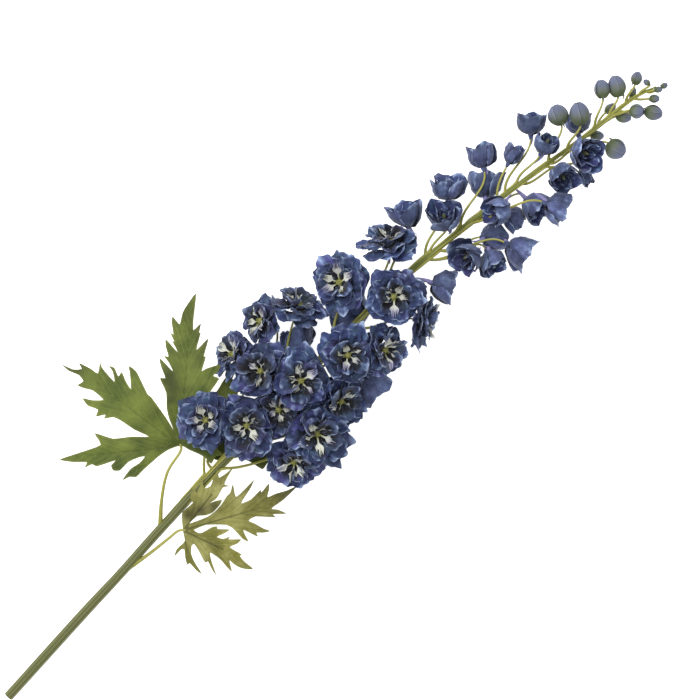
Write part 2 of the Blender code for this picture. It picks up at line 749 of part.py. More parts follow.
def main():
    for obj in list(bpy.data.objects):
        bpy.data.objects.remove(obj)
    rng = random.Random(SEED)
    materials = {name: material(name) for name in COLOURS}

    stem = smooth_curve(STEM, STEM_STEPS)
    stem_path, stem_radii = stem[:, :3], stem[:, 3]
    fine = smooth_curve(STEM, 24)
    fine_path, fine_radii = fine[:, :3], fine[:, 3]
    steps = np.linalg.norm(np.diff(fine_path, axis=0), axis=1)
    lengths = np.concatenate([[0], np.cumsum(steps)])

    heads = {name: head_of_open(v) for name, v in OPEN_FLOWERS.items()}
    heads.update({name: head_of_cup(v) for name, v in CUPS.items()})
    raise_walls(heads, fine_path, fine_radii)

    buds = []
    for right, up, high, direction, look_up, width, length in BUDS:
        buds.append((np.array([right, up, high], float), facing(direction, look_up),
                     width, length))
    keep_off_stalks(heads, stalks_for(heads, buds, fine_path, lengths))
    growth = [tube(stem_path, stem_radii, STEM_SIDES)]
    growth += [egg(*bud) for bud in buds]
    for path, axis, sides in stalks_for(heads, buds, fine_path, lengths).values():
        radii = np.linspace(STALK_ROOT_RADIUS, STALK_TIP_RADIUS, len(path))
        growth.append(tube(path, radii, sides, axis))
    for outline, _, height, _, _, _, petiole in LEAVES.values():
        joint, out = leaf_base(outline)
        into = np.array([-out[0], -out[1], 0])
        end = np.array([*(joint + out * CLEARANCE), height])
        path = smooth_curve([*petiole, end - 5 * into, end], 2)
        radii = np.linspace(PETIOLE_ROOT_RADIUS, PETIOLE_TIP_RADIUS, len(path))
        growth.append(tube(path, radii, STALK_SIDES + 1, into))
    meshes = {}
    for name, values in OPEN_FLOWERS.items():
        head = heads[name]
        points, faces = open_flower(values[5], rng)
        meshes[name] = (mesh_of(name, head.placed(points), faces), "petal")
        points, faces = eye_part(values[5], points[-1][2], rng)
        name = name.replace("flower", "eye")
        meshes[name] = (mesh_of(name, head.placed(points), faces), "eye")
    for name, values in CUPS.items():
        points, faces = cup(values[5], values[6], rng)
        meshes[name] = (mesh_of(name, heads[name].placed(points), faces), "petal")
    for name, (outline, ribs, height, arch, fall, tilt, _) in LEAVES.items():
        points, faces = leaf_parts(outline, ribs, height, arch, fall, tilt)
        meshes[name] = (mesh_of(name, points, faces), "leaf")
    meshes["stem"] = (fused("stem", growth), "stem")

    for name in RESTING:
        mesh = meshes[name][0]
        set_points(mesh, seated(mesh_points(mesh)))

    # the layout turned so that the spike runs along +X, with the origin under its middle
    turn = np.array(
        [
            [math.cos(SPIKE_TURN), math.sin(SPIKE_TURN), 0],
            [-math.sin(SPIKE_TURN), math.cos(SPIKE_TURN), 0],
            [0, 0, 1],
        ]
    )
    turned = {name: mesh_points(mesh) @ turn.T for name, (mesh, _) in meshes.items()}
    everything = np.vstack(list(turned.values()))
    middle = (everything.min(axis=0) + everything.max(axis=0)) / 2
    middle[2] = 0.0
    for name, (mesh, slot) in meshes.items():
        set_points(mesh, (turned[name] - middle) * MM)
        mesh.materials.clear()
        mesh.materials.append(materials[slot])
        obj = bpy.data.objects.new(name, mesh)
        obj.name = name
        bpy.context.scene.collection.objects.link(obj)


main()
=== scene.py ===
# The looks of the delphinium spike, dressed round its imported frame.
# The layout is in millimetres, seen from above: right and up from the cut end of the
# stem, and high above the surface. Blender's own units are metres.
import math
import random

import bpy
import numpy as np
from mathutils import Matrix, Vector
from mathutils.geometry import delaunay_2d_cdt


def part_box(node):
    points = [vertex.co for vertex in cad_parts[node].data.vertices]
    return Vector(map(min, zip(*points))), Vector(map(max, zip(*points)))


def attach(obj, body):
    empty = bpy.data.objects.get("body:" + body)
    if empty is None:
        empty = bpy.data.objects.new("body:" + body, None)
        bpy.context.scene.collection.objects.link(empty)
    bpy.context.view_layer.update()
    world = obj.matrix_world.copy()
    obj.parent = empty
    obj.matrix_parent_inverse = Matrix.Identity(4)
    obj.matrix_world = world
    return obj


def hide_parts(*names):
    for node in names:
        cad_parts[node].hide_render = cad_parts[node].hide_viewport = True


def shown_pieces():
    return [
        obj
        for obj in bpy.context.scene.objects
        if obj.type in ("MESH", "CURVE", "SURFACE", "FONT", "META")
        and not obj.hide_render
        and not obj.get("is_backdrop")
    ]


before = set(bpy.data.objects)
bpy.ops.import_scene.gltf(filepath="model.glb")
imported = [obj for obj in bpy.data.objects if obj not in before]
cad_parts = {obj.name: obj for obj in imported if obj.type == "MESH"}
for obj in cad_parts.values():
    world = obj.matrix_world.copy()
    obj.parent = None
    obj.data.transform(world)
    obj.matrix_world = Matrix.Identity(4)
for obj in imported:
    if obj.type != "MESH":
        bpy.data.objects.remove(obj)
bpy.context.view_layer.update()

mm = 0.001
spike = {
    "turn": math.radians(43.0),  # how far it points up from the layout's right
    "seed": 7,  # the CAD's own, so that petals turn as its petals do
    "lookSeed": 19,  # what only the looks draw
    "gap": 0.3,  # between pieces that touch
    "surfaceGap": 0.9,  # lowest point of a flower that carries no weight
    "squeezeStart": 0.6,  # share of the room on a side that stays unsqueezed
    "seatReach": 12.0,  # how far up a piece that touches the surface is drawn down
    "touching": ("flower_17", "cup_20"),  # and the stem
    "sharpFrom": math.radians(62),  # an edge that turns more than this is sharp
}

# Stem centreline: right, up, high, radius
stemPoints = [
    (-4.8, -4.7, 5.0, 4.9),
    (70, 78, 12, 5.0),
    (110, 121, 16.5, 4.7),
    (153, 169, 21, 4.8),
    (209, 229, 28, 4.7),
    (275, 297, 34, 4.2),
    (349, 375, 38, 3.7),
    (404, 427, 40, 3.2),
    (497, 502, 42, 2.5),
    (584, 566, 43, 2.0),
    (624, 598, 43, 1.6),
    (648, 610, 43, 0.8),
]
# Open flowers. Centre of the eye: right, up, high. Then the compass direction that the
# face turns to in this view, how far it looks up from level, and the width over the petals.
openFlowers = {
    "flower_01": (198, 276, 46, 150, 76, 60),
    "flower_02": (239, 272, 58, -100, 78, 62),
    "flower_03": (254, 325, 54, 165, 64, 60),
    "flower_04": (293, 316, 68, 0, 86, 62),
    "flower_05": (339, 342, 66, -50, 78, 60),
    "flower_06": (374, 347, 50, -15, 48, 58),
    "flower_07": (332, 413, 57, 150, 68, 62),
    "flower_08": (385, 400, 66, -80, 80, 60),
    "flower_09": (381, 453, 48, 95, 34, 66),
    "flower_10": (289, 389, 42, 72, 30, 60),
    "flower_11": (254, 375, 34, 165, 42, 52),
    "flower_12": (226, 341, 30, 152, 40, 50),
    "flower_13": (308, 264, 55, -55, 72, 68),
    "flower_14": (331, 296, 43, -30, 54, 58),
    "flower_15": (286, 236, 36, -104, 58, 56),
    "flower_16": (270, 287, 48, -45, 84, 54),
    "flower_17": (413, 376, 33, -12, 6, 62),
}

# Half-open flowers: middle of the cup, then direction, look up, width, and how open it is
halfOpenFlowers = {
    "cup_01": (396, 483, 44, 104, 14, 36, 0.75),
    "cup_02": (435, 481, 57, 100, 42, 38, 0.6),
    "cup_03": (439, 511, 46, 92, 14, 35, 0.65),
    "cup_04": (472, 542, 50, 102, 4, 33, 0.3),
    "cup_05": (478, 515, 29, 88, -10, 38, 0.55),
    "cup_06": (528, 489, 36, -45, 20, 34, 0.5),
    "cup_07": (523, 575, 44, 88, 12, 31, 0.5),
    "cup_08": (537, 552, 54, 62, 34, 26, 0.25),
    "cup_09": (570, 576, 26, 95, -8, 28, 0.4),
    "cup_10": (554, 519, 49, -58, 40, 32, 0.6),
    "cup_11": (577, 542, 58, -20, 50, 36, 0.6),
    "cup_12": (488, 485, 60, 205, 26, 33, 0.15),
    "cup_13": (507, 477, 30, -40, -8, 28, 0.4),
    "cup_14": (549, 488, 57, -20, -10, 32, 0.5),
    "cup_15": (457, 439, 54, 215, 40, 34, 0.6),
    "cup_16": (485, 434, 44, -60, 22, 30, 0.5),
    "cup_17": (512, 444, 46, -32, 2, 36, 0.6),
    "cup_18": (487, 461, 26, 5, -30, 32, 0.5),
    "cup_19": (343, 384, 22, 140, -40, 40, 0.9),
    "cup_20": (287, 361, 20, 112, -12, 44, 0.8),
    "cup_21": (364, 308, 27, -50, -12, 36, 1.0),
    "cup_22": (437, 410, 40, -15, -5, 34, 0.7),
}

# Buds: middle, direction, look up, width, length
buds = [
    (549, 581, 52, 112, 10, 20, 20),
    (570, 582, 56, 100, 14, 20, 22),
    (593, 607, 50, 98, 10, 15, 18),
    (608, 610, 48, 100, 8, 17, 21),
    (628, 618, 47, 76, 5, 11, 13),
    (625, 605, 36, 70, -10, 7, 10),
    (603, 589, 32, 40, -10, 9, 13),
    (638, 614, 47, 150, 10, 6, 7),
    (650, 607, 44, 5, 5, 6, 8),
    (656, 611, 43, 25, 5, 6, 7),
    (646, 598, 44, 0, 5, 8, 10),
    (628, 585, 50, -10, 20, 14, 14),
    (645, 584, 44, -12, 0, 15, 18),
    (616, 580, 35, -6, -5, 11, 15),
    (608, 548, 40, -38, 5, 20, 20),
    (590, 562, 28, 0, -10, 10, 13),
]
closedFlowers = [
    (504, 541, 45, 62, 10, 24, 26),
    (577, 521, 40, -60, 0, 15, 24),
]

# Leaf outlines: right, up. Each starts at the petiole and runs round the lobes.
leaf1Outline = [
    (174, 249.5), (180, 246), (188.5, 242.5), (196.5, 238), (202, 232), (207, 240),
    (213.5, 242), (193, 262), (188, 276), (194, 290), (200.5, 303.5), (210, 317.5),
    (204, 320.5), (208.5, 325), (212.5, 332.5), (197.5, 328), (192.5, 325.5),
    (196.5, 339.5), (194.5, 340.5), (199, 358.5), (187, 346.5), (191, 363.5),
    (189.5, 364), (191, 373.5), (183.5, 366.5), (183.5, 379), (185.5, 404.5),
    (175.5, 390.5), (172, 383.5), (169.5, 372.5), (162.5, 380.5), (161.5, 374),
    (163.5, 362), (159.5, 365.5), (164.5, 355), (162, 356.5), (168, 344.5),
    (156, 357.5), (156, 350), (159, 340), (154.5, 340.5), (159.5, 333.5), (163.5, 325),
    (151.5, 337.5), (150, 336), (152, 328.5), (156, 318.5), (150.5, 318), (157, 303.5),
    (157.5, 288), (160, 277), (164, 266.5), (157, 278), (142.5, 298.5), (138, 302.5),
    (128, 323), (123.5, 328), (118.5, 330.5), (120, 324), (121.5, 307.5),
    (116.5, 314.5), (112, 324.5), (108.5, 320), (104.5, 328.5), (98.5, 330.5),
    (102.5, 325), (104.5, 314.5), (91.5, 329), (89.5, 335), (87.5, 323), (79.5, 328),
    (67.5, 333.5), (70.5, 327.5), (61.5, 327), (49.5, 332), (57, 325.5), (68, 321),
    (72.5, 315), (66.5, 311), (73, 308), (83, 305.5), (93.5, 296.5), (82, 296),
    (72, 298), (77.5, 290.5), (88, 286.5), (86, 279.5), (95.5, 281.5), (94.5, 277.5),
    (104, 279), (112.5, 275), (125, 266.5), (139.5, 259.5), (122, 259.5),
    (103.5, 257.5), (84.5, 263), (91, 251.5), (76, 245.5), (48, 236), (62, 233.5),
    (76.5, 233.5), (74.5, 228), (82, 231.5), (87.5, 229.5), (105.5, 235.5),
    (101.5, 230.5), (103.5, 225.5), (110.5, 225.5), (119, 234), (129, 238.5),
    (135.5, 239.5), (130, 233), (121, 227), (112.5, 215.5), (120, 219), (127, 219),
    (134.5, 226.5), (149, 239.5), (158.5, 246), (167.5, 249.5),
]
leaf1Ribs = [(182, 385), (80, 318), (75, 240), (125, 225), (200, 245)]
leaf2Outline = [
    (173, 166.5), (172.5, 175.5), (173, 183.5), (183.5, 193), (181, 197.5), (182, 203),
    (185.5, 206), (187.5, 203.5), (191, 210), (192.5, 221), (195, 208), (201.5, 210),
    (204.5, 217.5), (209, 227), (210, 218.5), (217, 222.5), (224.5, 229), (218, 218),
    (215.5, 211.5), (220.5, 210), (214, 208.5), (209.5, 200.5), (206.5, 196.5),
    (201, 193), (207, 195), (213, 196), (210.5, 190.5), (204, 183.5), (197, 180.5),
    (188, 179.5), (180, 172), (189, 175), (198.5, 179), (206, 184.5), (212, 191),
    (218, 200), (221.5, 203.5), (224, 212), (227, 199), (238, 209), (245.5, 216.5),
    (241, 206.5), (232, 192.5), (242, 196.5), (251.5, 206), (252.5, 203.5),
    (260, 212.5), (260, 205.5), (258.5, 198.5), (267, 202), (278, 205), (289, 209.5),
    (274.5, 195.5), (262.5, 187), (269.5, 185.5), (278, 181.5), (264, 181),
    (266.5, 178), (247, 179), (239.5, 175), (246.5, 171.5), (254, 167), (261.5, 164),
    (254.5, 162.5), (247.5, 162.5), (248.5, 158.5), (234.5, 165.5), (236, 160.5),
    (239.5, 153.5), (233.5, 156.5), (223.5, 167.5), (217.5, 170.5), (209, 171),
    (196.5, 170.5), (184.5, 165.5), (188.5, 162.5), (192.5, 162.5), (203, 168.5),
    (208, 169), (208.5, 166.5), (220.5, 166), (215, 162), (207.5, 158.5), (214, 156.5),
    (221, 159), (219.5, 156), (232, 156), (228, 151.5), (220.5, 148), (232.5, 140.5),
    (230.5, 139), (235.5, 133), (244, 125.5), (236, 125.5), (229.5, 127.5), (224, 131),
    (220, 134.5), (222.5, 123), (217.5, 127.5), (212.5, 134), (206.5, 139),
    (200.5, 142.5), (202, 134), (207, 119), (202, 126), (198.5, 133.5), (195.5, 132.5),
    (188.5, 145.5), (184.5, 151), (182, 149), (181.5, 141.5), (184.5, 133.5),
    (192.5, 120.5), (186.5, 124.5), (180, 131.5), (177.5, 130), (175.5, 137),
    (174.5, 145.5), (171.5, 145.5), (164.5, 138.5), (167, 146), (175, 154),
    (173.5, 163),
]
leaf2Ribs = [(204, 203), (253.5, 188.5), (215, 145), (178.5, 140), (168, 146)]
leaf3Outline = [
    (205, 236), (215, 234), (228, 238), (240, 234), (253, 226), (258, 232), (265, 237),
    (257, 246), (246, 252), (262, 258), (246, 264), (232, 258), (222, 262), (224, 278),
    (226, 293), (229, 306), (231, 321), (224, 316), (219, 322), (213, 315), (209, 308),
    (204, 300), (199, 282), (202, 264), (198, 254), (188, 262), (180, 258), (184, 250),
    (196, 242),
]
leaf3Ribs = [(252, 236), (248, 259), (220, 308), (188, 256)]

# Each leaf: how high its base stands, how much it arches up on the way out and falls by
# its tip, how much it rises up the layout, which face shows, its shade, its spots of painted
# shade, and of painted light where the share is negative (right, up, radius and how much),
# and its petiole's path
leaves = {
    "leaf_1": {
        "outline": leaf1Outline, "ribs": leaf1Ribs, "base": 27, "arch": 9, "fall": 24, "tilt": 0.0,
        "faceUp": 1, "shade": 1.0,
        "shadeAndLightSpots": [(160, 321, 10, 0.65), (164, 309, 8, 0.55), (161, 297, 7, 0.5), (174, 388, 14, 0.25),
                   (66, 328, 12, 0.5), (191, 371, 7, 0.5), (198, 357, 7, 0.45), (176, 268, 12, 0.15),
                   (105, 295, 22, -0.22), (82, 240, 24, -0.2), (172, 355, 12, -0.1)],
        "petiole": [(150, 168, 21), (152, 197, 25), (158, 224, 27)],
    },
    "leaf_2": {
        "outline": leaf2Outline, "ribs": leaf2Ribs, "base": 23, "arch": 7, "fall": 13, "tilt": 0.16,
        "faceUp": -1, "shade": 1.0,
        # the three spots at 0.7 paint a fold over: the darker face that it shows, and painted shade
        "shadeAndLightSpots": [(180, 180, 7, 0.7), (192, 185, 7, 0.7), (205, 190, 6, 0.7), (279, 205, 15, 0.5),
                   (232, 212, 9, 0.55), (250, 208, 8, 0.45), (225, 150, 22, -0.32), (222, 180, 12, -0.16),
                   (188, 208, 10, -0.18), (206, 137, 5, 0.45), (206, 150, 6, 0.3)],
        "petiole": [(115, 124, 16), (139, 141, 21), (158, 156, 23)],
    },
    "leaf_3": {
        "outline": leaf3Outline, "ribs": leaf3Ribs, "base": 17, "arch": 2, "fall": 7, "tilt": 0.0,
        # painted shadow: leaf_3 lies lower, in the shade, so its shade and its spot darken it
        "faceUp": 1, "shade": 0.86, "shadeAndLightSpots": [(205, 250, 16, 0.3)],
        "petiole": [(206, 226, 26), (201, 228, 21)],
    },
}


# Small sums


def unit(v):
    v = np.asarray(v, float)
    return v / np.linalg.norm(v)


def smoothStep(t):
    t = np.clip(t, 0.0, 1.0)
    return t * t * (3.0 - 2.0 * t)


def rising(t, start, span):
    return smoothStep((t - start) / span)


def facing(direction, lookUp):
    d, e = math.radians(direction), math.radians(lookUp)
    return np.array([math.cos(d) * math.cos(e), math.sin(d) * math.cos(e), math.sin(e)])


def axesAcross(axis):
    side = unit(np.cross((0, 0, 1.0), axis) if abs(axis[2]) < 0.99 else (1.0, 0, 0))
    return side, np.cross(axis, side)


def smoothCurve(points, steps):
    # a Catmull-Rom curve through the points, with this many steps between two of them
    p = np.asarray(points, float)
    p = np.vstack([2 * p[0] - p[1], p, 2 * p[-1] - p[-2]])
    out = []
    for i in range(1, len(p) - 2):
        for t in np.arange(steps) / steps:
            straight = 2 * p[i] + (p[i + 1] - p[i - 1]) * t
            bent = (2 * p[i - 1] - 5 * p[i] + 4 * p[i + 1] - p[i + 2]) * t**2
            out.append((straight + bent + (3 * p[i] - p[i - 1] - 3 * p[i + 1] + p[i + 2]) * t**3) / 2)
    return np.array(out + [p[-2]])


def turned(points, angle):
    c, s = math.cos(angle), math.sin(angle)
    return points @ np.array([[c, s, 0], [-s, c, 0], [0, 0, 1]])


def frameShift():
    # where the layout's zero lies in the frame, read off the CAD's first leaf
    outline = np.array([(x, y, 0) for x, y in leaves["leaf_1"]["outline"]], float)
    low = np.array(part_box("leaf_1")[0]) / mm
    shift = turned(outline, -spike["turn"]).min(axis=0) - low
    return np.array([shift[0], shift[1], 0.0])


def toFrame(points):
    return (turned(points, -spike["turn"]) - frameOrigin) * mm


# Where each flower sits and who presses on it, by the CAD's own rules


class Head:
    def __init__(self, floor, axis, middleUp, reach):
        self.floor = np.asarray(floor, float)
        self.axis = axis
        self.side, self.other = axesAcross(axis)
        self.middle = self.floor + axis * middleUp
        self.reach = reach
        self.walls = []

    def placed(self, points):
        basis = np.array([self.side, self.other, self.axis])
        return self.squeezed(self.floor + np.asarray(points, float) @ basis)

    def squeezed(self, points):
        # a wall leaves what is well inside alone and draws the rest in behind it
        p = points.copy()
        for normal, room in self.walls:
            out = (p - self.middle) @ normal
            start = spike["squeezeStart"] * room
            over = np.maximum(out - start, 0.0)
            kept = over / (1 + (over / (room - start)) ** 4) ** 0.25
            p -= np.outer(over - kept, normal)
        return p


# A head's middle above its floor and its reach, for a cup as shares of its width
headForm = {"openRise": 3.0, "openBeyond": 3.0, "cupRise": 0.37, "cupReach": 0.6}


def headOfOpen(values):
    right, up, high, direction, lookUp, width = values
    return Head((right, up, high), facing(direction, lookUp), headForm["openRise"],
                width / 2 + headForm["openBeyond"])


def headOfHalfOpen(values):
    right, up, high, direction, lookUp, width, _ = values
    axis = facing(direction, lookUp)
    halfHeight = headForm["cupRise"] * width
    return Head(np.array([right, up, high]) - axis * halfHeight, axis, halfHeight,
                headForm["cupReach"] * width)


def raiseWalls(heads, stemPath, stemRadii):
    # neighbours share the room between them, and stem and surface take theirs
    for a, head in heads.items():
        for b, neighbour in heads.items():
            between = neighbour.middle - head.middle
            apart = np.linalg.norm(between)
            reach = head.reach + neighbour.reach
            if a != b and apart < reach:
                head.walls.append((between / apart, apart * head.reach / reach - spike["gap"]))
        nearest = int(np.argmin(np.linalg.norm(stemPath - head.middle, axis=1)))
        between = stemPath[nearest] - head.middle
        room = np.linalg.norm(between) - stemRadii[nearest] - 2 * spike["gap"]
        head.walls.append((unit(between), room))
        low = head.middle[2] - spike["surfaceGap"]
        if head.reach > low:
            head.walls.append((np.array([0, 0, -1.0]), low))


stalk = {
    "rootRadius": 1.5,  # in the CAD, which flowers give way to
    "shown": (1.45, 0.95),  # radius at its root and at its end
    "drop": {"open": 12.0, "half": 22.0, "bud": 6.0},  # how far below its own flower it leaves
    "lowest": 300.0,  # no stalk leaves the stem lower than this along it
    "ahead": 0.5,  # how much it leaves along the stem, against straight out of it
    "pulls": (0.36, 0.34),
    "budFoot": 0.4,
    "steps": 4,  # in the CAD
    "fineSteps": 28,
    "sides": 10,
    "ribs": 5,
    "ribDepth": 0.05,
}
hubDepth = {"open": 9.0, "half": 6.0}


def stalkPath(stemPath, base, axis, at, steps):
    start = stemPath[at]
    ahead = unit(stemPath[min(at + 1, len(stemPath) - 1)] - start)
    reach = np.linalg.norm(base - start)
    outward = unit(base - start - ahead * ((base - start) @ ahead))
    first = start + unit(stalk["ahead"] * ahead + outward) * stalk["pulls"][0] * reach
    second = base - axis * stalk["pulls"][1] * reach
    t = np.linspace(0, 1, steps + 1)[:, None]
    return (1 - t) ** 3 * start + 3 * (1 - t) ** 2 * t * first + 3 * (1 - t) * t**2 * second + t**3 * base


def foot(head, depth):
    # where a stalk ends: square to the flower's lower end and just clear of it
    a, b, c = head.placed([(0, 0, -depth), (1, 0, -depth), (0, 1, -depth)])
    normal = unit(np.cross(b - a, c - a))
    return a - normal * spike["gap"], normal


def attachIndex(stemPath, lengths, point, drop):
    nearest = int(np.argmin(np.linalg.norm(stemPath - point, axis=1)))
    distance = np.linalg.norm(stemPath[nearest] - point)
    wanted = max(lengths[nearest] - distance - drop, stalk["lowest"])
    return int(np.argmin(np.abs(lengths - wanted)))


def stalksFor(heads, stemPath, lengths, steps):
    stalks = {}
    for name, head in heads.items():
        kind = "open" if name in openFlowers else "half"
        base, upward = foot(head, hubDepth[kind])
        at = attachIndex(stemPath, lengths, base, stalk["drop"][kind])
        stalks[name] = stalkPath(stemPath, base, upward, at, steps)
    for number, (middle, axis, _, length) in enumerate(budPlaces + closedPlaces):
        base = middle - axis * stalk["budFoot"] * length
        at = attachIndex(stemPath, lengths, base, stalk["drop"]["bud"])
        stalks[f"bud_{number}"] = stalkPath(stemPath, base, axis, at, steps)
    return stalks


def keepOffStalks(heads, stalks):
    for name, head in heads.items():
        for owner, path in stalks.items():
            fine = smoothCurve(path, 6)
            away = np.linalg.norm(fine - head.middle, axis=1)
            nearest = int(np.argmin(away))
            if owner != name and away[nearest] < head.reach:
                room = away[nearest] - stalk["rootRadius"] - 2 * spike["gap"]
                head.walls.append((unit(fine[nearest] - head.middle), room))


def seated(points):
    # draws the lowest part of a shape down until it just meets the surface
    lowest = points[:, 2].min()
    points[:, 2] -= lowest * (1 - smoothStep((points[:, 2] - lowest) / spike["seatReach"]))
    return points


# Shapes are kept as arrays until a piece is whole: points, the corners of its faces one
# after another, how many each face has, and marks that the materials read


markWidths = {
    "spot": 3,  # across, along and side
    "luck": 3,  # three draws, one set for each petal
    "layer": 1,  # which ring of petals
    "crease": 1,  # from a valley, -1, to a crest, 1
}


def markKind(width):
    return ("FLOAT_VECTOR", "vector") if width == 3 else ("FLOAT", "value")


def shapeOf(points, corners, sizes, spot=0.0, luck=0.5):
    marks = {name: np.zeros((len(points), width)) for name, width in markWidths.items()}
    marks["spot"][:] = spot
    marks["luck"][:] = luck
    return {"points": np.asarray(points, float), "corners": np.asarray(corners, int),
            "sizes": np.asarray(sizes, int), "marks": marks}


def joined(shapes):
    offsets = np.cumsum([0] + [len(s["points"]) for s in shapes])
    return {
        "points": np.vstack([s["points"] for s in shapes]),
        "corners": np.concatenate([s["corners"] + o for s, o in zip(shapes, offsets)]),
        "sizes": np.concatenate([s["sizes"] for s in shapes]),
        "marks": {name: np.vstack([s["marks"][name] for s in shapes]) for name in markWidths},
    }


def meshOf(name, shape):
    mesh = bpy.data.meshes.new(name)
    mesh.vertices.add(len(shape["points"]))
    mesh.vertices.foreach_set("co", shape["points"].astype(np.float32).ravel())
    mesh.loops.add(len(shape["corners"]))
    mesh.loops.foreach_set("vertex_index", shape["corners"].astype(np.int32))
    mesh.polygons.add(len(shape["sizes"]))
    starts = np.cumsum(shape["sizes"]) - shape["sizes"]
    mesh.polygons.foreach_set("loop_start", starts.astype(np.int32))
    mesh.update(calc_edges=True)
    for mark, width in markWidths.items():
        kind, field = markKind(width)
        attribute = mesh.attributes.new(mark, kind, "POINT")
        attribute.data.foreach_set(field, shape["marks"][mark].astype(np.float32).ravel())
    mesh.shade_smooth()
    mesh.set_sharp_from_angle(angle=spike["sharpFrom"])
    return mesh


def readArray(items, field, width=1, kind=np.float32):
    values = np.empty(len(items) * width, kind)
    items.foreach_get(field, values)
    return values.reshape(-1, width)


def readShape(mesh):
    shape = shapeOf(readArray(mesh.vertices, "co", 3),
                    readArray(mesh.loops, "vertex_index", kind=np.int32).ravel(),
                    readArray(mesh.polygons, "loop_total", kind=np.int32).ravel())
    for mark, width in markWidths.items():
        if mark in mesh.attributes:
            shape["marks"][mark][:] = readArray(mesh.attributes[mark].data, markKind(width)[1], width)
    bpy.data.meshes.remove(mesh)
    return shape


def sheetGrid(rows, columns):
    # the share along, v, and the place across, u, of each point of a sheet
    return np.meshgrid(np.linspace(0, 1, rows + 1), np.linspace(-1, 1, columns + 1), indexing="ij")


def sheetShape(middle, push, u, v):
    # a closed sheet from a grid of points: both faces and the rim between them
    middle, push = middle.reshape(-1, 3), push.reshape(-1, 3)
    count = u.size
    at = np.arange(count).reshape(u.shape)
    quads = np.stack([at[:-1, :-1], at[:-1, 1:], at[1:, 1:], at[1:, :-1]], axis=-1).reshape(-1, 4)
    rim = np.concatenate([at[0, :-1], at[:-1, -1], at[-1, :0:-1], at[:0:-1, 0]])
    after = np.roll(rim, -1)
    edge = np.stack([rim, rim + count, after + count, after], axis=-1)
    faces = np.vstack([quads, quads[:, ::-1] + count, edge])
    spot = np.stack([u, v, np.ones_like(u)], axis=-1).reshape(-1, 3)
    return shapeOf(np.vstack([middle + push, middle - push]), faces.ravel(), np.full(len(faces), 4),
                   spot=np.vstack([spot, spot * (1, 1, -1)]))


def lathe(profile, sides, spot):
    # a closed turned shape from pairs of radius and height, going up the outside
    turns = np.arange(sides) * 2 * math.pi / sides
    rings = [(r * math.cos(a), r * math.sin(a), h) for r, h in profile for a in turns]
    points = rings + [(0, 0, profile[0][1]), (0, 0, profile[-1][1])]
    corners, sizes = [], []
    for i in range(len(profile) - 1):
        for k in range(sides):
            a, b = i * sides + k, i * sides + (k + 1) % sides
            corners += [a, b, b + sides, a + sides]
            sizes.append(4)
    bottom, top = len(rings), len(rings) + 1
    last = (len(profile) - 1) * sides
    for k in range(sides):
        after = (k + 1) % sides
        corners += [bottom, after, k, top, last + k, last + after]
        sizes += [3, 3]
    return shapeOf(points, corners, sizes, spot=spot)


def stoodAlong(axis, points, middle):
    side, other = axesAcross(axis)
    return middle + points @ np.array([side, other, axis])


# Node trees


def feed(tree, socket, value):
    if isinstance(value, Wire):
        value = value.socket
    if isinstance(value, bpy.types.NodeSocket):
        tree.links.new(value, socket)
    elif value is not None:
        socket.default_value = value


def addNode(tree, kind, inputs=(), **settings):
    made = tree.nodes.new(kind)
    for label, value in settings.items():
        setattr(made, label, value)
    for label, value in dict(inputs).items():
        feed(tree, made.inputs[label], value)
    return made


def worked(tree, operation, *values):
    made = addNode(tree, "ShaderNodeMath", operation=operation)
    for socket, value in zip(made.inputs, values):
        feed(tree, socket, value)
    return Wire(tree, made.outputs[0])


class Wire:
    # a socket that sums are written with, as if it were a number
    def __init__(self, tree, socket):
        self.tree, self.socket = tree, socket

    def op(self, operation, *others):
        return worked(self.tree, operation, self, *others)

    def __add__(self, other):
        return self.op("ADD", other)

    def __sub__(self, other):
        return self.op("SUBTRACT", other)

    def __mul__(self, other):
        return self.op("MULTIPLY", other)

    def __truediv__(self, other):
        return self.op("DIVIDE", other)

    def __rsub__(self, other):
        return worked(self.tree, "SUBTRACT", other, self)

    def __rtruediv__(self, other):
        return worked(self.tree, "DIVIDE", other, self)

    __radd__, __rmul__ = __add__, __mul__

    def ramp(self, low, high):
        # 0 below low, 1 above high, smooth between them
        ends = {"Value": self, "From Min": low, "From Max": high}
        made = addNode(self.tree, "ShaderNodeMapRange", ends, interpolation_type="SMOOTHSTEP")
        return Wire(self.tree, made.outputs[0])


def newTree(name, kind, inputs, outputs):
    # inputs hold a label, a kind of socket and a value
    tree = bpy.data.node_groups.new(name, kind)
    for label, socketKind, value in inputs:
        socket = tree.interface.new_socket(label, in_out="INPUT", socket_type="NodeSocket" + socketKind)
        if value is not None:
            socket.default_value = value
    for label, socketKind in outputs:
        tree.interface.new_socket(label, in_out="OUTPUT", socket_type="NodeSocket" + socketKind)
    given = {s.name: Wire(tree, s) for s in addNode(tree, "NodeGroupInput").outputs if s.name}
    return tree, given, addNode(tree, "NodeGroupOutput").inputs


def shown(sockets):
    # of sockets with one name, only those of the node's own data type are switched on
    return [s for s in sockets if s.enabled]


def stored(tree, geometry, name, value, kind, domain="POINT"):
    made = addNode(tree, "GeometryNodeStoreNamedAttribute", {"Geometry": geometry, "Name": name},
                   data_type=kind, domain=domain)
    feed(tree, next(s for s in shown(made.inputs) if s.name == "Value"), value)
    return made.outputs[0]


def endTree(tree, geometry, given, made):
    real = addNode(tree, "GeometryNodeRealizeInstances", {"Geometry": geometry})
    painted = addNode(tree, "GeometryNodeSetMaterial", {
        "Geometry": real.outputs[0], "Material": given["Finish"],
    })
    feed(tree, made["Geometry"], painted.outputs[0])
    return tree


